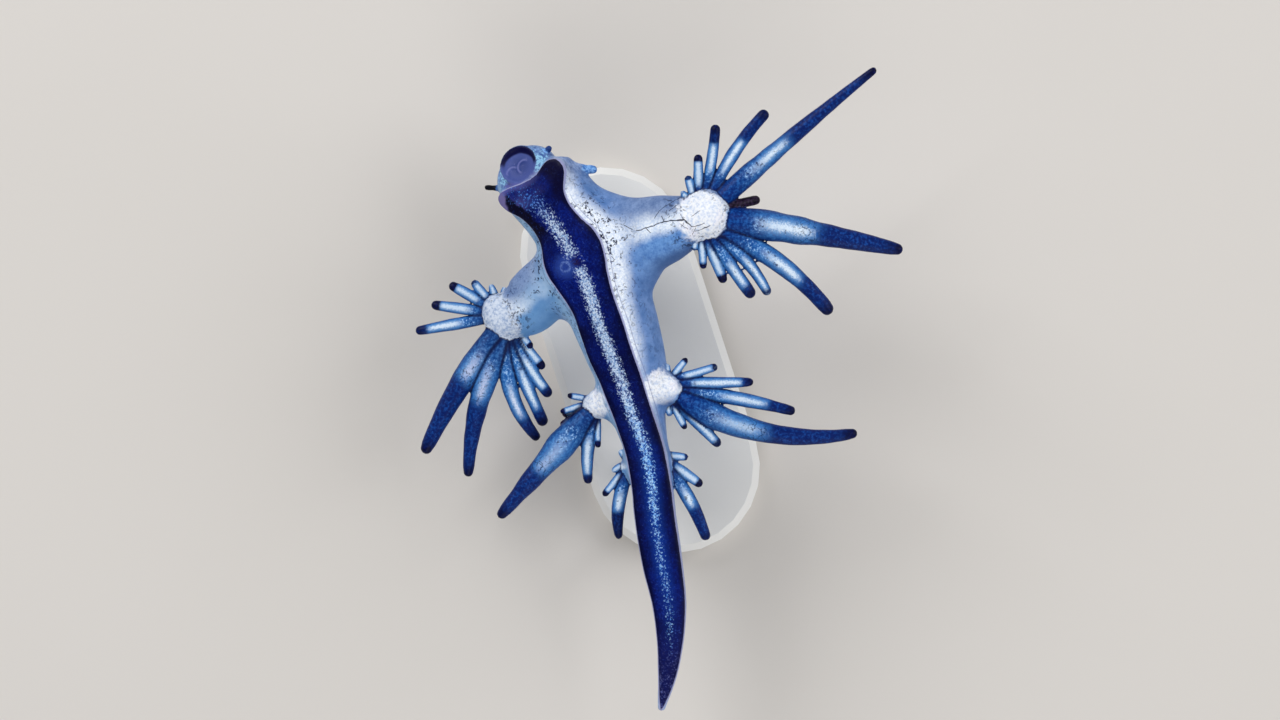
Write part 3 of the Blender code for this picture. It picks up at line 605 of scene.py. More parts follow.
def hub_reach(key, angle):
    """How far the hub's rim lies from its centre at a heading seen from above."""
    hub = HUBS[key]
    outward = hub_axes(key)[1]
    turned = math.radians(angle) - math.atan2(outward[1], outward[0])
    return 1 / math.hypot(math.cos(turned) / hub.along, math.sin(turned) / hub.across)


def bent_path(root, heading, turn, length, rise, steps):
    """Points from a root that start at a heading, turn evenly and rise to the tip."""
    angles = np.radians(heading + turn * (np.arange(steps) + 0.5) / steps)
    moves = np.stack([np.cos(angles), np.sin(angles), np.zeros(steps)], 1) * (length / steps)
    path = root + np.vstack([np.zeros(3), np.cumsum(moves, 0)])
    path[:, 2] += rise * (np.arange(steps + 1) / steps) ** 1.5
    return path


def ceras_width(ceras, t):
    """The width of a ceras at the share t of its length, before its round tip."""
    swell = np.sin(math.pi / 2 * np.clip(t, 0, ceras.peak) / ceras.peak)
    rising = ceras.base + (1 - ceras.base) * swell
    falling = 1 - (1 - ceras.point) * (t - ceras.peak) / (1 - ceras.peak)
    return ceras.width * np.where(t < ceras.peak, rising, falling)


def round_end(path, radii, blunt):
    """Ends a path where a ball of the last radius just reaches its tip."""
    tip = path[-1]
    back = unit(path[-2] - tip)
    keep = np.linalg.norm(path - tip, axis=1) > 1.2 * blunt
    return (
        np.vstack([path[keep], tip + back * blunt]),
        np.append(np.asarray(radii)[keep], blunt * 0.98),
    )


def ceras_tube(key, ceras):
    centre = hub_axes(key)[0]
    spoke = np.array([math.cos(math.radians(ceras.round)), math.sin(math.radians(ceras.round)), 0])
    reach = hub_reach(key, ceras.round)
    steps = max(4, math.ceil(ceras.length / CERAS_PIECE))
    root = centre + spoke * reach * CERAS_RIM
    path = bent_path(root, ceras.heading, ceras.turn, ceras.length, ceras.rise, steps)
    radii = ceras_width(ceras, np.arange(steps + 1) / steps) / 2
    uneven = [noise.noise(Vector(point) * 0.9) for point in path]
    radii = radii * (1 + CERAS_UNEVEN * np.array(uneven))
    path, radii = round_end(path, radii, radii[-1])
    start = centre + spoke * reach * CERAS_SUNK
    return Tube(np.vstack([start, path]), np.insert(radii, 0, radii[0]))


def feeler_tube(name):
    feeler = FEELERS[name]
    angle = math.radians(feeler.round)
    if feeler.ahead > 0:
        ahead = (feeler.ahead - HEAD_AT[0]) / HEAD_SIZE[0]
        shrink = math.sqrt(1 - ahead * ahead) * FEELER_SUNK
        root = head_place(
            feeler.ahead,
            HEAD_AT[1] + HEAD_SIZE[1] * shrink * math.cos(angle),
            HEAD_AT[2] + HEAD_SIZE[2] * shrink * math.sin(angle),
        )
    else:
        _, _, _, _, wide, deep, _ = BODY_SHAPE.rows(np.array([-feeler.ahead]))
        root = BODY_SHAPE.point(
            -feeler.ahead,
            wide[0] * FEELER_SUNK * math.cos(angle),
            deep[0] * FEELER_SUNK * math.sin(angle),
        )[0]
    path = bent_path(root, feeler.heading, feeler.turn, feeler.length, feeler.rise, 8)
    root = FEELER_ROOTS.get(name, 1.0)
    radii = feeler.width / 2 * np.interp(np.arange(9), (0, 5, 6.5, 8), (root, 0.82, 1.0, 0.9))
    return Tube(*round_end(path, radii, radii[-1]))


class Field:
    """Signed distances on a grid that holds the whole animal."""

    def __init__(self, low, high, step):
        self.low = np.array(low, dtype=float)
        self.step = step
        self.shape = tuple(np.ceil((np.array(high) - self.low) / step).astype(int) + 1)
        self.values = np.full(self.shape, FAR, dtype=np.float32)

    def box(self, low, high):
        first = np.clip(np.floor((low - REACH - self.low) / self.step).astype(int), 0, None)
        last = np.minimum(np.ceil((high + REACH - self.low) / self.step).astype(int) + 1, self.shape)
        return first, last

    def points(self, first, last):
        axes = [self.low[k] + self.step * np.arange(first[k], last[k]) for k in range(3)]
        return np.stack(np.meshgrid(*axes, indexing="ij"), -1).reshape(-1, 3)

    def add(self, distance, low, high, soft):
        """Joins one shape, given by a function of points, inside its box."""
        first, last = self.box(np.asarray(low), np.asarray(high))
        part = tuple(slice(a, b) for a, b in zip(first, last))
        new = distance(self.points(first, last)).reshape(last - first)
        self.values[part] = smooth_min(self.values[part], new, soft)

    def carve(self, distance, low, high, soft):
        """Takes one shape out of the field inside its box."""
        first, last = self.box(np.asarray(low), np.asarray(high))
        part = tuple(slice(a, b) for a, b in zip(first, last))
        hole = distance(self.points(first, last)).reshape(last - first)
        self.values[part] = smooth_max(self.values[part], -hole, soft)

    def add_tube(self, tube, soft):
        """Joins a tube, worked out piece by piece on its own."""
        boxes = [(i, *self.box(low, high)) for i, low, high in tube.boxes()]
        start = np.min([first for _, first, _ in boxes], axis=0)
        end = np.max([last for _, _, last in boxes], axis=0)
        new = np.full(end - start, FAR, dtype=np.float32)
        for i, first, last in boxes:
            part = tuple(slice(a, b) for a, b in zip(first - start, last - start))
            gap = tube.segment(i, self.points(first, last))[0].reshape(last - first)
            new[part] = np.minimum(new[part], gap)
        whole = tuple(slice(a, b) for a, b in zip(start, end))
        self.values[whole] = smooth_min(self.values[whole], new, soft)

    def read(self, points):
        """The field at points between its own."""
        place = np.clip((points - self.low) / self.step, 0, np.array(self.shape) - 1.001)
        k = place.astype(int)
        t = place - k
        total = np.zeros(len(points))
        for corner in np.ndindex(2, 2, 2):
            weight = np.prod(np.where(corner, t, 1 - t), axis=1)
            total += weight * self.values[tuple((k + corner).T)]
        return total

    def slope(self, points):
        parts = []
        for axis in range(3):
            step = np.zeros(3)
            step[axis] = self.step * 0.5
            parts.append(self.read(points + step) - self.read(points - step))
        return np.stack(parts, 1) / self.step


PINCH_ROUNDS = 12
PINCH_FILL = 0.02


def close_pinches(values):
    """Fills grid points where two sheets of the surface would share an edge or a point."""
    size = np.array(values.shape) - 1
    corner = {(i, j, k): values[i:i + size[0], j:j + size[1], k:k + size[2]]
              for i, j, k in np.ndindex(2, 2, 2)}
    for _ in range(PINCH_ROUNDS):
        found = 0
        count = sum((part < 0).astype(np.int8) for part in corner.values())
        for start in ((0, 0, 0), (1, 0, 0), (0, 1, 0), (0, 0, 1)):
            end = tuple(1 - k for k in start)
            both = (count == 2) & (corner[start] < 0) & (corner[end] < 0)
            neither = (count == 6) & (corner[start] >= 0) & (corner[end] >= 0)
            corner[(1 - start[0], *start[1:])][both] = -PINCH_FILL
            corner[start][neither] = -PINCH_FILL
            found += np.count_nonzero(both | neither)
        for axis in range(3):
            plane = np.moveaxis(values, axis, 0)
            a, b, c, d = plane[:, :-1, :-1], plane[:, 1:, :-1], plane[:, 1:, 1:], plane[:, :-1, 1:]
            for first, second, third, fourth in ((a, b, c, d), (b, c, d, a)):
                crossed = (first < 0) & (third < 0) & (second >= 0) & (fourth >= 0)
                nearer = crossed & (second <= fourth)
                farther = crossed & (second > fourth)
                second[nearer] = -PINCH_FILL
                fourth[farther] = -PINCH_FILL
                found += np.count_nonzero(crossed)
        if not found:
            return


def surface_net(field):
    """Points and four-sided faces of the surface where the field is 0."""
    inside = field.values < 0
    count = np.zeros(np.array(field.shape) - 1, dtype=np.int8)
    size = count.shape
    for i, j, k in np.ndindex(2, 2, 2):
        count += inside[i:i + size[0], j:j + size[1], k:k + size[2]]
    mixed = (count > 0) & (count < 8)
    cells = np.argwhere(mixed)
    number = np.full(size, -1, dtype=np.int64)
    number[mixed] = np.arange(len(cells))
    total = np.zeros((len(cells), 3))
    hits = np.zeros(len(cells))
    for axis in range(3):
        ahead = np.eye(3, dtype=int)[axis]
        others = [k for k in range(3) if k != axis]
        for first, second in np.ndindex(2, 2):
            corner = np.zeros(3, dtype=int)
            corner[others[0]], corner[others[1]] = first, second
            a = field.values[tuple((cells + corner).T)]
            b = field.values[tuple((cells + corner + ahead).T)]
            crossed = (a < 0) != (b < 0)
            t = a[crossed] / (a[crossed] - b[crossed])
            total[crossed] += corner + t[:, None] * ahead
            hits[crossed] += 1
    points = field.low + field.step * (cells + total / hits[:, None])
    faces = []
    for axis in range(3):
        ahead = np.eye(3, dtype=int)[axis]
        side, up = (np.eye(3, dtype=int)[(axis + k) % 3] for k in (1, 2))
        near = inside[tuple(slice(0, -1) if k == axis else slice(1, -1) for k in range(3))]
        far = inside[tuple(slice(1, None) if k == axis else slice(1, -1) for k in range(3))]
        edges = np.argwhere(near != far) + (1 - ahead)
        outward = inside[tuple(edges.T)]
        quad = [number[tuple((edges - move).T)] for move in (0 * side, side, side + up, up)]
        quad = np.stack(quad, 1)
        quad[~outward] = quad[~outward][:, ::-1]
        faces.append(quad)
    return points, np.vstack(faces)


def relax(points, faces, field, rounds):
    """Evens out the points and puts them back on the field's surface."""
    pairs = np.vstack([faces[:, [k, (k + 1) % 4]] for k in range(4)])
    pairs = np.vstack([pairs, pairs[:, ::-1]])
    count = np.bincount(pairs[:, 0], minlength=len(points))[:, None]
    for _ in range(rounds):
        mean = np.stack(
            [np.bincount(pairs[:, 0], points[pairs[:, 1], k], len(points)) for k in range(3)], 1
        )
        points = 0.5 * points + 0.5 * mean / count
        slope = field.slope(points)
        steep = np.maximum(np.sum(slope * slope, 1), 0.05)
        move = slope * (field.read(points) / steep)[:, None]
        length = np.linalg.norm(move, axis=1, keepdims=True)
        points = points - move * np.minimum(1, 0.5 * field.step / np.maximum(length, 1e-9))
    return points


def spread(tubes):
    """The corners of a box that holds tubes."""
    lows, highs = zip(*[(low, high) for tube in tubes for _, low, high in tube.boxes()])
    return np.min(lows, axis=0), np.max(highs, axis=0)


arms = {key: Arm(ARMS[key]) for key in ARMS}
hubs = {key: hub_shape(key) for key in HUBS}
cerata = [(key, ceras, ceras_tube(key, ceras)) for key in CERATA for ceras in CERATA[key]]
feelers = {name: feeler_tube(name) for name in FEELERS}


def build_field():
    low, high = spread([tube for _, _, tube in cerata])
    low = np.minimum(low, [-11.5, -25.0, 7.5]) - 0.5
    high = np.maximum(high, [3.0, 15.5, 14.0]) + 0.5
    field = Field(low, high, STEP)
    slabs = np.arange(-25.0, 14.0, 1.5)
    for start in slabs:
        rows = (BODY_SHAPE.table[:, 1] > start - 2.5) & (BODY_SHAPE.table[:, 1] < start + 4.0)
        near = BODY_SHAPE.table[rows]
        if not len(near):
            continue
        wide = near[:, 12].max()
        corner = [near[:, 0].min() - wide, start + REACH, near[:, 2].min() - wide]
        other = [near[:, 0].max() + wide, start + 1.5 - REACH, near[:, 2].max() + wide]
        field.add(BODY_SHAPE.distance, corner, other, 0)
    head = head_place(*HEAD_AT)
    field.add(head_distance, head - 2.6, head + 2.6, SOFT_HEAD)
    mouth = mouth_axes()[0]
    field.add(lip_distance, mouth - 1.5, mouth + 1.5, 0.25)
    field.carve(mouth_bowl, mouth - 1.3, mouth + 1.3, 0.10)
    for key, arm in arms.items():
        field.add(arm.distance, *arm.corners(), SOFT_ARM)
        size = max(hubs[key].sizes)
        field.add(hubs[key].distance, hubs[key].centre - size, hubs[key].centre + size, SOFT_HUB)
    for tube in feelers.values():
        field.add_tube(tube, SOFT_FEELER)
    leaves = Field(low, high, STEP)
    for _, _, tube in cerata:
        leaves.add_tube(tube, SOFT_CERATA)
    field.values = smooth_min(field.values, leaves.values, SOFT_ROOT).astype(np.float32)
    return field


def new_mesh(name, points, faces):
    """A mesh object in metres from points in millimetres and four-sided faces."""
    mesh = bpy.data.meshes.new(name)
    mesh.vertices.add(len(points))
    mesh.vertices.foreach_set("co", (points * MM).astype(np.float32).ravel())
    mesh.loops.add(faces.size)
    mesh.loops.foreach_set("vertex_index", faces.astype(np.int32).ravel())
    mesh.polygons.add(len(faces))
    mesh.polygons.foreach_set("loop_start", np.arange(0, faces.size, 4, dtype=np.int32))
    mesh.update(calc_edges=True)
    mesh.validate()
    mesh.shade_smooth()
    obj = bpy.data.objects.new(name, mesh)
    bpy.context.scene.collection.objects.link(obj)
    return obj


HUB_GRAIN = 0.045        # how far the hubs' granules stand proud
SKIN_GRAIN = 0.012


def roughen(points, field):
    """Moves the points a little along the surface's slope: granules on the hubs' tops."""
    normals = unit(field.slope(points))
    share = np.zeros(len(points))
    for key, hub in hubs.items():
        near = hub.grown(points)
        share = np.maximum(share, (1 - ramp(near, 0.98, 1.15)) * ramp(normals[:, 2], 0.2, 0.6))
    grain = np.array([noise.noise(Vector(p) * 3.1) for p in points])
    fold = np.array([noise.noise(Vector(p) * 1.1 + Vector((7, 3, 1))) for p in points])
    move = HUB_GRAIN * share * grain + SKIN_GRAIN * fold
    return points + normals * move[:, None]


LIT_BY_LENGTH = ((0.8, 2.0, 3.5, 5.5, 14.0), (0.10, 0.16, 0.22, 0.34, 0.25))
END_BY_LENGTH = ((0.8, 3.0, 5.5, 9.0, 14.0), (0.80, 0.82, 0.82, 0.70, 0.50))


def colour_places(points):
    """What the colours depend on, at each point of the skin, as named numbers or triples."""
    at, across, high, wide, deep, sole = BODY_SHAPE.place(points)
    thick = np.minimum(SOLE_THICK, 0.4 * deep)
    edge, share = sole_edge(at, across)
    made = {
        "sole": (at, across, share),
        "sole_in": np.minimum(-edge, high - (deep - thick) + 0.08),
        "sole_off": np.hypot(np.maximum(edge, 0), np.maximum(deep - thick - high, 0)),
        "mouth": mouth_place(points),
    }
    trunk = BODY_SHAPE.distance(points)
    trunk = smooth_min(trunk, head_distance(points), SOFT_HEAD)
    arm_row = [np.full(len(points), value) for value in (0.0, 0.0, -FAR)]
    nearest = np.full(len(points), FAR)
    for key, arm in arms.items():
        gap, along, side, _ = arm.place(points)
        closer = (gap < nearest) & (gap < 1.0)
        nearest = np.where(closer, gap, nearest)
        toward_head = -side if key.endswith("right") else side
        arm_row[0] = np.where(closer, along / arm.length, arm_row[0])
        arm_row[1] = np.where(closer, toward_head, arm_row[1])
        arm_row[2] = np.where(closer, trunk - gap, arm_row[2])
    made["arm"] = tuple(arm_row)
    for arm in arms.values():
        trunk = smooth_min(trunk, arm.distance(points), SOFT_ARM)
    hub_off = np.full(len(points), FAR)
    hub_out = np.zeros(len(points))
    for key, hub in hubs.items():
        gap = points - hub.centre
        outward, aside = hub.axes[:2]
        level = np.hypot(gap @ outward / hub.sizes[0], gap @ aside / hub.sizes[1])
        trunk = smooth_min(trunk, hub.distance(points), SOFT_HUB)
        level = (level - 1) * max(hub.sizes[:2])
        hub_out = np.where(level < hub_off, gap @ outward / hub.sizes[0], hub_out)
        hub_off = np.minimum(hub_off, level)
    made["hub"] = (hub_off, hub_out, hub_out)
    best = np.full(len(points), FAR)
    second = np.full(len(points), FAR)
    place = [np.zeros(len(points)) for _ in range(3)]
    facts = [np.zeros(len(points)) for _ in range(3)]
    sizes = [np.zeros(len(points)) for _ in range(3)]
    for key, ceras, tube in cerata:
        low, high_corner = spread([tube])
        near = np.flatnonzero(np.all((points > low - REACH) & (points < high_corner + REACH), 1))
        gap, along, aside, lift = tube.place(points[near])
        closer = gap < best[near]
        rows = near[closer]
        second[near] = np.minimum(second[near], np.maximum(gap, best[near]))
        best[rows] = gap[closer]
        share = (along[closer] - tube.steps[1]) / ceras.length
        lit = ceras.lit if ceras.lit is not None else np.interp(ceras.length, *LIT_BY_LENGTH)
        end = ceras.end if ceras.end is not None else np.interp(ceras.length, *END_BY_LENGTH)
        for store, values in (
            (place, (share, np.abs(aside[closer]), lift[closer])),
            (facts, (lit, end, ceras.stump)),
            (sizes, (ceras.length, ceras.width, ceras.shine)),
        ):
            for slot, value in zip(store, values):
                slot[rows] = value
    made["ceras"] = tuple(place)
    made["ceras_lit"] = tuple(facts)
    made["ceras_size"] = tuple(sizes)
    made["ceras_in"] = np.clip(trunk - best, -1, 1)
    # How close the next ceras or the trunk is, for the painted shade in the creases between them
    made["crease"] = np.clip(np.minimum(second, trunk) - best, 0, 1)
    feeler_row = [np.zeros(len(points)) for _ in range(3)]
    for number, tube in enumerate(feelers.values()):
        gap, along, _, _ = tube.place(points)
        ours = gap < 0.10
        feeler_row[0] = np.where(ours, along / tube.steps[-1], feeler_row[0])
        feeler_row[1] = np.where(ours, 1.0, feeler_row[1])
        feeler_row[2] = np.where(ours, number, feeler_row[2])
    made["feeler"] = tuple(feeler_row)
    return made


def store(mesh, name, values):
    """Keeps one number or triple for each point of a mesh under a name."""
    triple = isinstance(values, tuple)
    kind = "FLOAT_VECTOR" if triple else "FLOAT"
    data = np.stack(values, 1) if triple else values
    attribute = mesh.attributes.new(name, kind, "POINT")
    attribute.data.foreach_set("vector" if triple else "value", data.astype(np.float32).ravel())


def rgb(red, green, blue):
    """A linear colour from screen values up to 255."""
    parts = [part / 255 for part in (red, green, blue)]
    linear = [p / 12.92 if p < 0.04045 else ((p + 0.055) / 1.055) ** 2.4 for p in parts]
    return (*linear, 1.0)


class Value:
    """A number in a material's nodes that can be used in sums."""

    def __init__(self, paint, socket):
        self.paint, self.socket = paint, socket

    def __add__(self, other):
        return self.paint.math("ADD", self, other)

    def __sub__(self, other):
        return self.paint.math("SUBTRACT", self, other)

    def __rsub__(self, other):
        return self.paint.math("SUBTRACT", other, self)

    def __mul__(self, other):
        return self.paint.math("MULTIPLY", self, other)

    def __truediv__(self, other):
        return self.paint.math("DIVIDE", self, other)

    __radd__ = __add__
    __rmul__ = __mul__

    def __abs__(self):
        return self.paint.math("ABSOLUTE", self)

    def __neg__(self):
        return self.paint.math("MULTIPLY", self, -1.0)

    def least(self, other):
        return self.paint.math("MINIMUM", self, other)

    def most(self, other):
        return self.paint.math("MAXIMUM", self, other)

    def rise(self, low, high):
        """0 below low, 1 above high and a smooth rise between; falls where high is lower."""
        return self.paint.map_range(self, low, high, "SMOOTHSTEP")

    def near(self, middle, half):
        """1 at the middle, 0 farther off than half."""
        return abs(self - middle).rise(half, 0.0)

    def curve(self, *stops):
        """Values on straight lines between stops of (place, value)."""
        total = stops[0][1]
        for (low, first), (high, second) in zip(stops[:-1], stops[1:]):
            total = self.paint.map_range(self, low, high, "LINEAR") * (second - first) + total
        return total


class Paint:
    """Builds one procedural material."""

    def __init__(self, name, roughness=0.4, specular=0.5, metallic=0.0):
        self.material = bpy.data.materials.new(name)
        self.material.use_nodes = True
        self.tree = self.material.node_tree
        self.shader = self.tree.nodes["Principled BSDF"]
        self.shader.inputs["Roughness"].default_value = roughness
        self.shader.inputs["Specular IOR Level"].default_value = specular
        self.shader.inputs["Metallic"].default_value = metallic
        place = self.tree.nodes.new("ShaderNodeTexCoord").outputs["Object"]
        self.place = self.vector("SCALE", Value(self, place), scale=1 / MM)
        self.read = {}

    def connect(self, value, socket):
        if isinstance(value, Value):
            self.tree.links.new(value.socket, socket)
        else:
            socket.default_value = value

    def math(self, kind, a, b=0.0):
        node = self.tree.nodes.new("ShaderNodeMath")
        node.operation = kind
        self.connect(a, node.inputs[0])
        self.connect(b, node.inputs[1])
        return Value(self, node.outputs[0])

    def vector(self, kind, a, b=(0.0, 0.0, 0.0), scale=None, output="Vector"):
        node = self.tree.nodes.new("ShaderNodeVectorMath")
        node.operation = kind
        self.connect(a, node.inputs[0])
        self.connect(b, node.inputs[1])
        if scale is not None:
            self.connect(scale, node.inputs["Scale"])
        return Value(self, node.outputs[output])

    def triple(self, x, y, z):
        node = self.tree.nodes.new("ShaderNodeCombineXYZ")
        for value, socket in zip((x, y, z), node.inputs):
            self.connect(value, socket)
        return Value(self, node.outputs[0])

    def parts(self, vector):
        node = self.tree.nodes.new("ShaderNodeSeparateXYZ")
        self.connect(vector, node.inputs[0])
        return [Value(self, socket) for socket in node.outputs]

    def map_range(self, value, low, high, kind):
        node = self.tree.nodes.new("ShaderNodeMapRange")
        node.interpolation_type = kind
        self.connect(value, node.inputs["Value"])
        self.connect(low, node.inputs["From Min"])
        self.connect(high, node.inputs["From Max"])
        return Value(self, node.outputs["Result"])

    def stored(self, name):
        """A stored number."""
        if name not in self.read:
            node = self.tree.nodes.new("ShaderNodeAttribute")
            node.attribute_name = name
            self.read[name] = node
        return Value(self, self.read[name].outputs["Fac"])

    def stored_parts(self, name):
        """The three numbers of a stored triple."""
        self.stored(name)
        return self.parts(Value(self, self.read[name].outputs["Vector"]))

    def normal_parts(self):
        return self.parts(Value(self, self.tree.nodes.new("ShaderNodeNewGeometry").outputs["Normal"]))

    def noise(self, scale, detail=2.0, rough=0.5, place=None, shift=0.0):
        node = self.tree.nodes.new("ShaderNodeTexNoise")
        node.noise_dimensions = "4D"
        self.connect(place or self.place, node.inputs["Vector"])
        node.inputs["W"].default_value = shift
        node.inputs["Scale"].default_value = scale
        node.inputs["Detail"].default_value = detail
        node.inputs["Roughness"].default_value = rough
        return Value(self, node.outputs[0])

    def cells(self, scale, feature="F1", place=None, output="Distance"):
        node = self.tree.nodes.new("ShaderNodeTexVoronoi")
        node.feature = feature
        self.connect(place or self.place, node.inputs["Vector"])
        node.inputs["Scale"].default_value = scale
        return Value(self, node.outputs[output])

    def mix(self, share, first, second):
        node = self.tree.nodes.new("ShaderNodeMix")
        node.data_type = "RGBA"
        self.connect(share, node.inputs[0])
        self.connect(first, node.inputs[6])
        self.connect(second, node.inputs[7])
        return Value(self, node.outputs[2])

    def bump(self, height, distance, normal=None):
        node = self.tree.nodes.new("ShaderNodeBump")
        node.inputs["Distance"].default_value = distance * MM
        self.connect(height, node.inputs["Height"])
        if normal:
            self.connect(normal, node.inputs["Normal"])
        self.tree.links.new(node.outputs["Normal"], self.shader.inputs["Normal"])

    def colour(self, value):
        self.connect(value, self.shader.inputs["Base Color"])

    def roughness(self, value):
        self.connect(value, self.shader.inputs["Roughness"])


def warped(paint, amount, scale, shift):
    """The place moved about by noise, for lines that wander."""
    parts = [paint.noise(scale, 2.0, shift=shift + k) * amount for k in (0.0, 5.0, 9.0)]
    return paint.vector("ADD", paint.place, paint.triple(*parts))


def sole_colour(paint, grain, fine):
    """Deep blue with dark margins, a stripe of silver flecks and a violet front margin."""
    at, across, share = paint.stored_parts("sole")
    inside = paint.stored("sole_in")
    slow = paint.noise(0.8, 3.0, shift=2.0)
    tiny = paint.noise(8.5, 3.0, 0.65, shift=3.0)
    clump = paint.noise(3.2, 2.0, 0.5, shift=6.0)
    deep = paint.mix(fine.rise(0.35, 0.70), rgb(0, 12, 94), rgb(8, 38, 138))
    band = at.curve((0.0, 1.0), (2.0, 0.9), (3.5, 0.75), (9.0, 0.85), (12.0, 1.10), (25.0, 1.0), (36.0, 0.45))
    margin = (inside / band + (slow - 0.5) * 0.8).rise(0.95, 0.15)
    deep = paint.mix(margin, deep, rgb(0, 2, 44))
    corner = (at + (slow - 0.5)).rise(3.2, 1.9) * (share + (slow - 0.5) * 0.35).rise(0.26, 0.66)
    deep = paint.mix(corner, deep, rgb(4, 3, 42))

    front = (inside + (slow - 0.5) * 0.5 + (tiny - 0.5) * 0.5).rise(0.66, 0.20) * at.rise(1.9, 1.2)
    front = front * (1 - corner) * across.curve((-2.5, 1.0), (-0.8, 0.85), (0.6, 0.45), (1.4, 0.2))
    deep = paint.mix(front, deep, rgb(76, 80, 152))
    lobe = paint.vector("LENGTH", paint.triple((at + 0.1) * 0.8, across + 2.45, 0.0), output="Value")
    deep = paint.mix((lobe + (slow - 0.5) * 0.4).rise(0.95, 0.40), deep, rgb(104, 98, 148))
    wedge = (across + 1.95 - at * 0.22 + (clump - 0.5) * 0.7).rise(0.42, 0.14) * (at + (slow - 0.5) * 0.3).rise(-0.25, 0.05)
    wedge = wedge * (across + 2.05 + at * 0.45 + (clump - 0.5) * 0.5).rise(-0.08, 0.18) * at.rise(5.0, 3.4)
    deep = paint.mix(wedge, deep, rgb(5, 4, 30))

    off = across - at.curve((0, -0.9), (2, -0.25), (5, -0.05), (6.5, 0.08), (8, 0.26), (9.5, 0.18),
                            (11, 0.04), (14, 0.06), (18, -0.06), (20, 0.10), (22, 0.08), (26, 0.0))
    half = at.curve((0, 1.5), (3, 0.64), (6, 0.62), (14, 0.56), (22, 0.43), (38, 0.30))
    bell = (abs(off) / half).rise(1.5, 0.0)
    much = at.curve((0.2, 0.20), (2.2, 0.38), (4.0, 0.70), (8.0, 0.75), (9.0, 0.85), (17.0, 0.82),
                    (21.0, 0.72), (25.0, 0.56), (28.0, 0.40), (32.0, 0.34), (36.0, 0.0))
    gap = paint.vector("LENGTH", paint.triple(at - 6.7, across - 0.15, 0.0), output="Value")
    patchy = paint.noise(1.7, 2.0, shift=4.0)
    dense = bell * much * (0.40 + 0.60 * patchy + 0.60 * clump) * gap.rise(0.2, 0.7)
    glow = paint.mix((at + patchy * 3.0).rise(17.0, 23.0), rgb(46, 74, 150), rgb(14, 58, 150))
    lower = (abs(off) / half).rise(2.4, 0.0) * at.curve((17.0, 0.0), (23.0, 0.7), (29.0, 0.6), (33.5, 0.25), (36.0, 0.0))
    deep = paint.mix(lower, deep, glow)
    deep = paint.mix(dense.rise(0.15, 0.85) * 0.55, deep, glow)
    deep = paint.mix(at.rise(29.0, 35.5) * 0.75, deep, rgb(12, 14, 66))
    deep = paint.mix(at.rise(33.0, 37.0) * (tiny + (clump - 0.5) * 0.3).rise(0.50, 0.68) * 0.6, deep, rgb(98, 104, 162))
    flecks = (tiny + dense * 0.26).rise(0.59, 0.71) * dense.rise(0.02, 0.20)
    silver = paint.mix(fine.rise(0.35, 0.65), rgb(126, 160, 208), rgb(212, 228, 246))
    blue = paint.mix(fine.rise(0.35, 0.65), rgb(70, 136, 220), rgb(172, 214, 246))
    silver = paint.mix((at + patchy * 3.0).rise(17.0, 23.0), silver, blue)
    silver = paint.mix(at.rise(3.4, 1.4), silver, rgb(72, 124, 208))
    deep = paint.mix(flecks, deep, silver)
    strewn = (tiny + (patchy - 0.5) * 0.2).rise(0.56, 0.70) * (1 - margin * 0.7) * (1 - corner * 0.6)
    deep = paint.mix(strewn * 0.5, deep, rgb(56, 88, 182))

    ring = paint.vector("LENGTH", paint.triple(at - 6.75, across + 0.76, 0.0), output="Value")
    deep = paint.mix((ring + (slow - 0.5) * 0.8).rise(1.25, 0.3) * 0.55, deep, rgb(48, 78, 166))
    deep = paint.mix(ring.near(0.34, 0.17) * 0.55 * fine.rise(0.30, 0.7), deep, rgb(120, 150, 214))
    maroon = gap.rise(0.45, 0.10) * fine.rise(0.62, 0.45)
    deep = paint.mix(maroon * 0.8, deep, rgb(34, 14, 40))
    # A pale line along the sole's rim: the lip's own pale edge, with a painted rim highlight on it
    return paint.mix((inside + (fine - 0.5) * 0.04).rise(0.085, 0.045), deep, rgb(150, 154, 196))


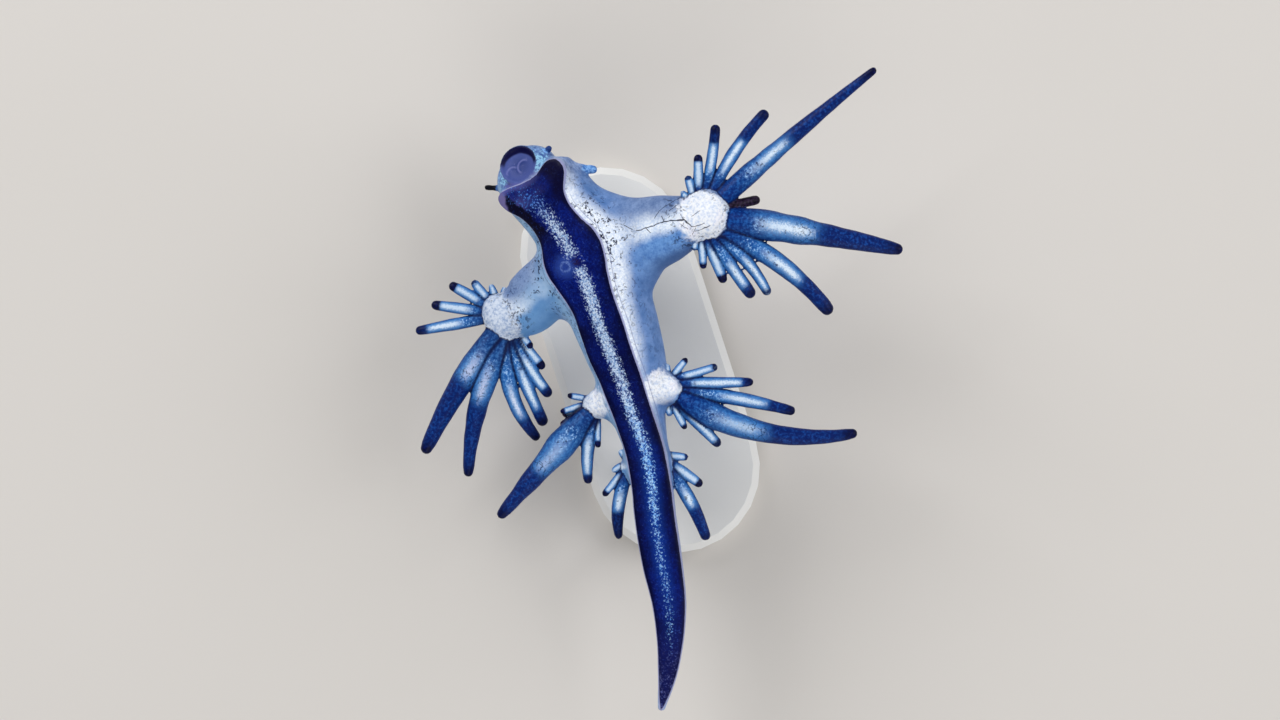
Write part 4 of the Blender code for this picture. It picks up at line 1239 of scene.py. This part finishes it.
def flank_colour(paint, grain, fine):
    """White beside the sole, lavender and blue farther out, grey below."""
    off = paint.stored("sole_off")
    at, across, _ = paint.stored_parts("sole")
    _, _, up = paint.normal_parts()
    along, toward_head, arm_in = paint.stored_parts("arm")
    slow = paint.noise(0.5, 3.0, shift=11.0)
    cloud = paint.noise(1.6, 4.0, 0.6, shift=12.0)
    far = off + (slow - 0.5) * 0.7 + (cloud - 0.5) * 0.3
    white = paint.mix(fine.rise(0.3, 0.7), rgb(198, 212, 236), rgb(240, 246, 253))
    blue = paint.mix(cloud.rise(0.3, 0.7), rgb(76, 114, 172), rgb(108, 142, 198))
    wide = at.curve((0, 0.5), (3.5, 0.8), (6.0, 1.6), (9.0, 1.1), (11.0, 0.6), (13.5, 0.5), (15.5, -0.2), (22.0, -0.2))
    colour = paint.mix((far - wide).rise(-0.5, 0.8), white, blue)
    head_side = (at + (cloud - 0.5)).rise(3.0, 0.9)
    mottled = (cloud * 0.5 + grain * 0.5).rise(0.38, 0.64)
    colour = paint.mix(head_side * 0.85, colour, paint.mix(mottled, rgb(76, 104, 158), rgb(150, 170, 210)))
    left = across.rise(-0.4, -1.4)
    pale = paint.mix(cloud.rise(0.25, 0.7), rgb(96, 140, 188), rgb(146, 180, 214))
    colour = paint.mix(left * off.rise(1.8, 0.8), colour, pale)

    on_arm = arm_in.rise(-0.6, 0.35)
    wander = toward_head + (slow - 0.5) * 0.35 + (cloud - 0.5) * 0.15
    brushed = (cloud - 0.5) * 0.7 + fine * 0.5 + 0.25
    aft = paint.mix(brushed.rise(0.3, 0.7), rgb(70, 116, 184), rgb(112, 158, 216))
    # Painted shade: a darker, greyer band along the arm's aft edge, where it curves away
    aft = paint.mix(wander.rise(-0.50, -0.92), aft, paint.mix(brushed, rgb(54, 84, 136), rgb(76, 108, 160)))
    fore = paint.mix(brushed.rise(0.25, 0.75), rgb(84, 110, 158), rgb(128, 152, 194))
    middle = paint.mix(fine.rise(0.3, 0.7), rgb(198, 214, 238), rgb(238, 245, 252))
    on_left = across.rise(-1.0, -2.5)
    middle = paint.mix(on_left * along.rise(0.9, 0.5), middle, paint.mix(cloud, rgb(112, 158, 206), rgb(176, 198, 226)))
    aft = paint.mix(on_left, aft, paint.mix(cloud, rgb(70, 122, 182), rgb(116, 162, 210)))
    arm = paint.mix(wander.rise(0.08, -0.26), middle, aft)
    arm = paint.mix(wander.rise(0.10, 0.72), arm, fore)
    colour = paint.mix(on_arm * along.rise(0.10, 0.55), colour, arm)
    under = paint.mix(slow.rise(0.3, 0.7), rgb(122, 138, 168), rgb(150, 163, 188))
    under = paint.mix((grain + (cloud - 0.5) * 0.4).rise(0.54, 0.68) * 0.6, under, rgb(182, 192, 208))
    return paint.mix(up.rise(0.1, -0.45), colour, under)


CRACKS = (
    # the long one on the right front arm and its side branches, from the sole to the hub
    (-0.26, 8.86, 0.97, 9.21, 0.050), (0.97, 9.21, 1.68, 9.48, 0.055), (1.68, 9.48, 2.55, 9.57, 0.060),
    (2.55, 9.57, 3.00, 9.60, 0.090), (3.00, 9.60, 3.59, 9.12, 0.055), (3.59, 9.12, 4.42, 9.34, 0.035),
    (1.68, 9.48, 1.48, 9.83, 0.045), (0.97, 9.70, 1.32, 10.24, 0.025), (1.32, 10.24, 2.20, 10.85, 0.025),
    (2.20, 10.85, 2.90, 11.18, 0.020), (2.00, 10.24, 2.48, 10.60, 0.035), (3.76, 8.78, 4.80, 9.20, 0.035),
    (3.55, 9.85, 4.10, 10.20, 0.025), (3.80, 9.05, 3.60, 8.60, 0.030), (2.80, 9.30, 3.30, 8.95, 0.025),
    (-0.55, 8.95, -1.05, 9.25, 0.040), (0.35, 9.05, 0.75, 8.72, 0.035),
)


def crack_lines(paint):
    """Thin dark wandering lines between named ends, as seen from above."""
    x, y, _ = paint.parts(warped(paint, 0.22, 2.6, 31.0))
    flat = paint.triple(x - 0.11, y - 0.11, 0.0)
    total = 0.0
    for ax, ay, bx, by, width in CRACKS:
        gap = paint.vector("SUBTRACT", flat, (ax, ay, 0.0))
        length = (bx - ax) ** 2 + (by - ay) ** 2
        t = paint.vector("DOT_PRODUCT", gap, (bx - ax, by - ay, 0.0), output="Value") / length
        t = t.most(0.0).least(1.0)
        near = paint.vector("SCALE", paint.triple(bx - ax, by - ay, 0.0), scale=t)
        away = paint.vector("DISTANCE", gap, near, output="Value")
        line = away.rise(width, width * 0.35)
        total = line if isinstance(total, float) else total.most(line)
    return total


def specks(paint, fine):
    """Short black cracks and specks on the pale skin."""
    lines = paint.cells(1.35, "DISTANCE_TO_EDGE", warped(paint, 0.8, 2.3, 21.0))
    where = paint.noise(0.8, 2.0, shift=15.0)
    broken = paint.noise(3.6, 1.0, shift=17.0)
    thin = lines.rise(0.075, 0.030) * where.rise(0.42, 0.52) * broken.rise(0.49, 0.56)
    small = paint.cells(2.1, "DISTANCE_TO_EDGE", warped(paint, 0.6, 2.9, 25.0)).rise(0.10, 0.04)
    small = small * paint.noise(3.4, 1.0, shift=19.0).rise(0.56, 0.62)
    dots = paint.cells(3.4).rise(0.24, 0.15) * paint.noise(1.3, 1.0, shift=27.0).rise(0.46, 0.54)
    return thin.most(small * where.rise(0.38, 0.46)).most(dots * broken.rise(0.50, 0.58))


def hub_colour(paint, grain, fine):
    _, across, _ = paint.stored_parts("sole")
    speckle = paint.mix(grain.rise(0.32, 0.60), rgb(198, 212, 236), rgb(244, 247, 253))
    rosy = paint.noise(0.8, 2.0, shift=41.0)
    speckle = paint.mix(rosy.rise(0.5, 0.7) * 0.35, speckle, rgb(232, 220, 240))
    grey = paint.mix(grain.rise(0.32, 0.62), rgb(146, 168, 204), rgb(210, 220, 236))
    return paint.mix(across.rise(-2.5, -4.0), speckle, grey)


def ceras_colour(paint, grain, fine):
    """A deep blue sheath round a silver core, dark at the tip."""
    share, aside, lift = paint.stored_parts("ceras")
    lit, end, stump = paint.stored_parts("ceras_lit")
    length, width, shine = paint.stored_parts("ceras_size")
    slow = paint.noise(0.9, 3.0, shift=51.0)
    grey = paint.noise(5.0, 4.0, 0.6, shift=53.0)
    tiny = paint.noise(9.0, 3.0, 0.6, shift=55.0)
    wander = share + (slow - 0.5) * 0.12 + (grey - 0.5) * 0.10
    middle = aside + (slow - 0.5) * 0.35
    _, across, _ = paint.stored_parts("sole")
    root = paint.mix(grey.rise(0.40, 0.70), rgb(4, 38, 108), rgb(26, 82, 160))
    root = paint.mix(across.rise(-2.5, -4.5), root, paint.mix(grey.rise(0.40, 0.70), rgb(16, 56, 118), rgb(54, 104, 168)))
    sheath = paint.mix(grey.rise(0.35, 0.65), rgb(30, 86, 160), rgb(66, 130, 198))
    sheath = paint.mix(wander.rise(0.04, 0.34), root, sheath)
    far = paint.mix(grey.rise(0.42, 0.70), rgb(4, 28, 92), rgb(22, 68, 146))
    dark = paint.mix(grey.rise(0.45, 0.75), rgb(1, 4, 42), rgb(8, 22, 90))
    edge = (wander - end) / 0.05
    colour = paint.mix(edge.rise(-0.8, 1.2), sheath, far)
    colour = paint.mix(wander.rise(0.86, 0.98), colour, dark)
    small = length.rise(6.0, 3.2)
    cap = (share + (slow - 0.5) * 0.06 - end) * length
    colour = paint.mix(small * cap.rise(-0.05, 0.10), colour, dark)
    # Painted shade: darker along each ceras's sides, where it turns away
    colour = paint.mix(middle.rise(0.62 + 0.15 * small, 1.05) * 0.75, colour, rgb(5, 28, 92))

    streak = (wander - lit).rise(-0.06, 0.16) * edge.rise(0.5, -1.6) * lift.rise(-0.2, 0.35)
    soft = (middle + (grey - 0.5) * 0.5 - 0.16 * small).rise(0.74, 0.22)
    colour = paint.mix(streak * soft * (0.40 + 0.5 * shine), colour, rgb(124, 166, 212))
    bright = (middle + (tiny - 0.5) * 0.9 - 0.10 * small).rise(0.46, 0.06)
    silver = paint.mix(across.rise(-4.5, -6.5) * length.rise(6.5, 8.5), rgb(222, 236, 250), rgb(208, 212, 240))
    colour = paint.mix(streak * bright * shine * (0.9 - 0.25 * small), colour, silver)
    ahead = share.rise(0.10, 0.22) * (share - lit).rise(0.20, -0.02) * middle.rise(0.80, 0.25)
    ahead = ahead.most(streak * soft * (1 - shine))
    flecks = (grey * 0.5 + tiny * 0.5 + ahead * 0.06).rise(0.575, 0.64) * ahead.rise(0.05, 0.5)
    colour = paint.mix(flecks * 0.9, colour, rgb(150, 188, 232))
    gaps = (paint.noise(3.2, 3.0, 0.6, shift=57.0) + middle * 0.05).rise(0.42, 0.36)
    mottled = gaps * (share - lit).rise(0.34, 0.10) * (share - lit).rise(-0.12, 0.02)
    colour = paint.mix(mottled * soft * width.rise(0.6, 1.1) * 0.8, colour, rgb(12, 26, 72))
    late = paint.cells(2.2, "DISTANCE_TO_EDGE", warped(paint, 0.5, 2.5, 29.0)).rise(0.10, 0.04)
    late = late * edge.near(-0.6, 3.0) * width.rise(1.2, 1.8) * grey.rise(0.45, 0.55)
    colour = paint.mix(late * 0.8, colour, rgb(8, 16, 60))
    # Painted shade in the creases between cerata and round their roots
    crease = paint.stored("crease").rise(0.22, 0.02) * share.rise(0.62, 0.38)
    colour = paint.mix(crease * 0.92, colour, rgb(6, 14, 58))
    worn = paint.mix(grey.rise(0.4, 0.7), rgb(18, 8, 30), rgb(62, 44, 76))
    return paint.mix(stump, colour, worn)


def head_colour(paint, grain, fine):
    """Pale blue skin with painted highlight flecks round a violet mouth disc, with painted highlights on its folds and
    a dark crescent of painted shade.
    """
    x, y, z = paint.stored_parts("mouth")
    slow = paint.noise(0.9, 3.0, shift=61.0)
    cloud = paint.noise(2.4, 3.0, 0.6, shift=62.0)
    out = paint.vector("LENGTH", paint.triple(x, y, 0.0), output="Value")
    skin = paint.mix(cloud.rise(0.35, 0.65), rgb(62, 94, 156), rgb(116, 148, 202))
    # Painted highlights: pale cyan flecks, strongest in two patches beside the mouth
    patch = paint.vector("LENGTH", paint.triple(x - 1.15, y + 0.75, 0.0), output="Value").rise(1.0, 0.4)
    other = paint.vector("LENGTH", paint.triple(x + 1.35, y + 0.20, 0.0), output="Value").rise(0.7, 0.3)
    highlight_flecks = (grain + patch.most(other) * 0.12).rise(0.54, 0.64)
    skin = paint.mix(highlight_flecks * 0.85, skin, rgb(150, 204, 236))
    disc = paint.mix((out + (slow - 0.5) * 0.4).rise(0.2, 1.2), rgb(52, 68, 132), rgb(74, 88, 154))
    disc = paint.mix(fine.rise(0.60, 0.75) * 0.3, disc, rgb(110, 120, 188))
    total = disc
    # Painted highlights along the crests of the two folds
    for fold_x, fold_y, radius, start, end in FOLDS:
        ring = paint.vector("LENGTH", paint.triple(x - fold_x, y - fold_y, 0.0), output="Value")
        turned = paint.math("ARCTAN2", y - fold_y, x - fold_x) * (180 / math.pi)
        turned = paint.math("FLOORED_MODULO", turned, 360.0)
        part = turned.rise(start, start + 40.0) * turned.rise(end, end - 40.0)
        total = paint.mix(ring.near(radius, 0.12) * part * 0.5, total, rgb(124, 130, 196))
    # Painted shade: a dark crescent inside the lip's upper-left rim
    moon_in = paint.vector("LENGTH", paint.triple(x + 0.12, y + 0.22, 0.0), output="Value")
    shade_crescent = (moon_in + (slow - 0.5) * 0.2).rise(1.08, 1.22) * (x * 0.5 + y * 0.87).rise(-0.25, 0.25)
    total = paint.mix(shade_crescent, total, rgb(10, 10, 58))
    margin = (paint.stored("sole_off") + (cloud - 0.5) * 0.3).rise(0.55, 0.25) * patch.rise(0.9, 0.4)
    skin = paint.mix(margin * out.rise(2.0, 1.7), skin, rgb(86, 92, 160))
    return paint.mix((out + (fine - 0.5) * 0.06).rise(1.32, 1.40), total, skin)


def feeler_colour(paint, grain):
    share, _, which = paint.stored_parts("feeler")
    blue = paint.mix(grain.rise(0.4, 0.6), rgb(60, 112, 186), rgb(128, 176, 232))
    black = paint.mix((share + (grain - 0.5) * 0.2).rise(0.46, 0.60), rgb(74, 112, 176), rgb(6, 6, 20))
    dark_top = paint.mix((share + grain * 0.2).rise(0.85, 1.05), blue, rgb(32, 58, 120))
    colour = paint.mix(which.rise(0.4, 0.6), black, dark_top)
    return paint.mix(which.rise(1.4, 1.6), colour, blue)


def skin_material():
    paint = Paint("slug_skin", roughness=0.34, specular=0.10)
    grain = paint.noise(5.2, 3.0, 0.65, shift=71.0)
    fine = paint.noise(8.5, 2.0, 0.5, shift=73.0)
    _, _, up = paint.normal_parts()
    off = paint.stored("sole_off")
    at, across, _ = paint.stored_parts("sole")
    colour = flank_colour(paint, grain, fine)
    hub_off, hub_out, _ = paint.stored_parts("hub")
    ragged = (grain - 0.5) * 0.5 + (fine - 0.5) * 0.25
    blend = hub_out.rise(0.45, -0.55)
    patches = paint.noise(1.3, 3.0, 0.6, shift=75.0) - 0.5
    reach = hub_off + ragged * (0.7 + 0.8 * blend) + patches * (0.3 + 1.2 * blend) + 0.08 - 0.30 * blend
    on_hub = reach.rise(0.10 + 0.25 * blend, -0.10 - 0.10 * blend) * up.rise(-0.1, 0.25)
    on_hub = on_hub * at.rise(18.5, 17.0)
    colour = paint.mix(on_hub, colour, hub_colour(paint, grain, fine))

    black = rgb(14, 18, 50)
    top = up.rise(0.15, 0.45)
    near_sole = off.rise(3.0, 1.0) * at.curve((0.4, 0.0), (1.6, 0.35), (3.0, 0.5), (4.0, 1.0), (7.5, 1.0), (10.0, 0.5), (18.0, 0.1))
    near_hub = hub_off.rise(2.2, 0.8) * hub_off.rise(-0.7, -0.1) * at.rise(13.0, 11.0) * 0.7
    thin = specks(paint, fine) * top * (near_sole + near_hub).least(1.0)
    colour = paint.mix(thin, colour, black)
    colour = paint.mix(crack_lines(paint) * top * 0.95, colour, black)

    mouth = paint.vector("LENGTH", paint.triple(*paint.stored_parts("mouth")), output="Value")
    on_head = (at + (grain - 0.5) * 0.3).rise(0.35, -0.15) * mouth.rise(2.6, 1.9)
    colour = paint.mix(on_head, colour, head_colour(paint, grain, fine))

    in_sole = paint.stored("sole_in")
    # Painted shade: a grey line in the groove beside the sole's rim
    groove_shade = off.near(0.24, 0.06) * at.rise(2.0, 4.0) * at.rise(24.0, 18.0)
    colour = paint.mix(groove_shade * 0.55, colour, rgb(92, 100, 150))
    colour = paint.mix((in_sole + (fine - 0.5) * 0.03).rise(-0.03, 0.01), colour,
                       sole_colour(paint, grain, fine))
    in_ceras = paint.stored("ceras_in")
    colour = paint.mix((in_ceras + ragged * 0.55).rise(-0.02, 0.08), colour,
                       ceras_colour(paint, grain, fine))
    _, on_feeler, _ = paint.stored_parts("feeler")
    _, _, which = paint.stored_parts("feeler")
    share, _, _ = paint.stored_parts("feeler")
    on_feeler = on_feeler * (which.rise(1.6, 1.4) + (share + (grain - 0.5) * 0.2).rise(0.40, 0.62)).least(1.0)
    colour = paint.mix(on_feeler, colour, feeler_colour(paint, grain))
    paint.colour(colour)
    paint.bump(grain * (0.4 + 0.8 * on_hub) + fine * 0.3, 0.05)
    paint.roughness(0.30 + 0.22 * grain + 0.25 * on_hub)
    return paint.material


def round_normal(paint, middle, half=0.0, turn=0.0):
    """The smooth normal of an upright form with round ends, given its middle line."""
    position = paint.tree.nodes.new("ShaderNodeNewGeometry").outputs["Position"]
    x, y, _ = paint.parts(paint.vector("SCALE", Value(paint, position), scale=1 / MM))
    x, y = x - middle.x, y - middle.y
    east, north = -math.sin(turn), math.cos(turn)
    along = (x * east + y * north).least(half).most(-half)
    out = paint.vector("NORMALIZE", paint.triple(x - along * east, y - along * north, 0.0))
    _, _, up = paint.normal_parts()
    out = paint.vector("SCALE", out, scale=paint.math("SQRT", 1 - up * up))
    return paint.vector("ADD", out, paint.triple(0.0, 0.0, up))


BASE_TURN = math.radians(18)     # the base lies along the body, turned from +Y
BASE_HALF = 8.0                  # half of the base's straight part


def box_middle(name):
    low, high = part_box(name)
    return (low + high) / (2 * MM)


def stand_material():
    paint = Paint("stand_acrylic", specular=0.5)
    cloud = paint.noise(0.12, 3.0)
    paint.colour(paint.mix(cloud, rgb(226, 226, 224), rgb(236, 236, 235)))
    paint.roughness(0.34 + 0.10 * paint.noise(1.5, 3.0, shift=3.0))
    smooth = round_normal(paint, box_middle("stand_base"), BASE_HALF, BASE_TURN)
    paint.bump(paint.noise(2.5, 3.0, shift=5.0), 0.01, smooth)
    return paint.material


def rod_material(rod):
    paint = Paint(rod + "_steel", metallic=1.0)
    x, y, z = paint.parts(paint.place)
    drawn = paint.noise(1.0, 3.0, place=paint.triple(x * 9.0, y * 9.0, z * 0.5))
    paint.colour(paint.mix(drawn, rgb(168, 170, 174), rgb(206, 207, 210)))
    paint.roughness(0.24 + 0.16 * drawn)
    paint.bump(drawn, 0.008, round_normal(paint, box_middle(rod)))
    return paint.material


def pad_material():
    paint = Paint("stand_silicone", specular=0.4)
    paint.colour(paint.mix(paint.noise(3.0, 2.0), rgb(188, 190, 194), rgb(208, 210, 213)))
    paint.roughness(0.45 + 0.15 * paint.noise(4.0, 2.0, shift=2.0))
    paint.bump(paint.noise(6.0, 2.0, shift=4.0), 0.01)
    return paint.material


def floor_material():
    paint = Paint("floor_paint", specular=0.2)
    paint.colour(paint.mix(paint.noise(0.02, 4.0), rgb(206, 202, 197), rgb(212, 208, 204)))
    paint.roughness(0.75 + 0.1 * paint.noise(0.3, 2.0, shift=2.0))
    return paint.material


def build_skin():
    field = build_field()
    close_pinches(field.values)
    points, faces = surface_net(field)
    points = relax(points, faces, field, 4)
    places = colour_places(points)
    points = roughen(points, field)
    skin = new_mesh("skin", points, faces)
    for name, values in places.items():
        store(skin.data, name, values)
    skin.data.materials.append(skin_material())
    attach(skin, "root")
    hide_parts(*[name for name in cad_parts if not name.startswith("stand_")])
    print("skin", len(points), "points", 2 * len(faces), "triangles")
    return skin


def new_object(name, data, material=None):
    obj = bpy.data.objects.new(name, data)
    bpy.context.scene.collection.objects.link(obj)
    if material:
        data.materials.append(material)
    return obj


PAD_SIDES = 48
PAD_RADIUS = 0.98
PAD_RINGS = ((0.0, -0.30), (0.86, -0.30), (1.0, -0.22), (1.0, 0.42), (0.0, 0.42))


def build_pads():
    """A soft pad between each rod and the belly, in the gap that the solids keep."""
    for end in ("front", "rear"):
        middle = box_middle("stand_rod_" + end)
        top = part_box("stand_rod_" + end)[1].z / MM
        points, faces = [], []
        for radius, lift in PAD_RINGS[1:-1]:
            for i in range(PAD_SIDES):
                angle = 2 * math.pi * i / PAD_SIDES
                points.append((
                    middle.x + PAD_RADIUS * radius * math.cos(angle),
                    middle.y + PAD_RADIUS * radius * math.sin(angle),
                    top + lift,
                ))
        for ring in range(len(PAD_RINGS) - 3):
            for i in range(PAD_SIDES):
                j = (i + 1) % PAD_SIDES
                a, b = ring * PAD_SIDES, (ring + 1) * PAD_SIDES
                faces.append((a + i, a + j, b + j, b + i))
        faces.append(tuple(reversed(range(PAD_SIDES))))
        faces.append(tuple(range(len(points) - PAD_SIDES, len(points))))
        mesh = bpy.data.meshes.new("stand_pad_" + end)
        mesh.from_pydata([Vector(p) * MM for p in points], [], faces)
        mesh.shade_smooth()
        mesh.set_sharp_from_angle(angle=math.radians(40))
        pad = new_object("stand_pad_" + end, mesh, pad_material())
        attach(pad, "root")


def build_stage():
    half = 0.6
    mesh = bpy.data.meshes.new("floor")
    corners = [(-half, -half, 0), (half, -half, 0), (half, half, 0), (-half, half, 0)]
    mesh.from_pydata(corners, [], [(0, 1, 2, 3)])
    new_object("floor", mesh, floor_material())


LAMPS = (
    # name, place, size and power
    ("key", (-0.22, 0.24, 0.26), 0.26, 1.35),
    ("fill", (0.30, 0.06, 0.24), 0.30, 0.82),
    ("back", (0.02, -0.34, 0.22), 0.30, 0.66),
)
SKY_STRENGTH = 0.16


def build_lights():
    for name, place, size, power in LAMPS:
        data = bpy.data.lights.new(name, "AREA")
        data.energy = power
        data.size = size
        lamp = new_object(name, data)
        lamp.location = place
        lamp.rotation_mode = "QUATERNION"
        lamp.rotation_quaternion = Vector(place).to_track_quat("Z", "Y")
    world = bpy.data.worlds.new("studio")
    world.use_nodes = True
    sky = world.node_tree.nodes["Background"]
    sky.inputs["Color"].default_value = (1.0, 1.0, 1.0, 1.0)
    sky.inputs["Strength"].default_value = SKY_STRENGTH
    bpy.context.scene.world = world
    bpy.context.scene.view_settings.view_transform = "Standard"


PHOTO_WIDTH = 88.3       # what the picture's width spans at the height of the sole
SOLE_HEIGHT = 11.0
CAMERA_HEIGHT = 400.0
SENSOR = 36.0


def build_camera():
    """Looks straight down, as the photograph does."""
    data = bpy.data.cameras.new("camera")
    data.sensor_width = SENSOR
    data.lens = SENSOR * (CAMERA_HEIGHT - SOLE_HEIGHT) / PHOTO_WIDTH
    data.clip_start = 0.01
    camera = new_object("camera", data)
    camera.location = (0, 0, CAMERA_HEIGHT * MM)
    bpy.context.scene.camera = camera


build_camera()
build_stage()
build_lights()
build_skin()
build_pads()
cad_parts["stand_base"].data.materials[0] = stand_material()
for rod in ("stand_rod_front", "stand_rod_rear"):
    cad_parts[rod].data.materials[0] = rod_material(rod)
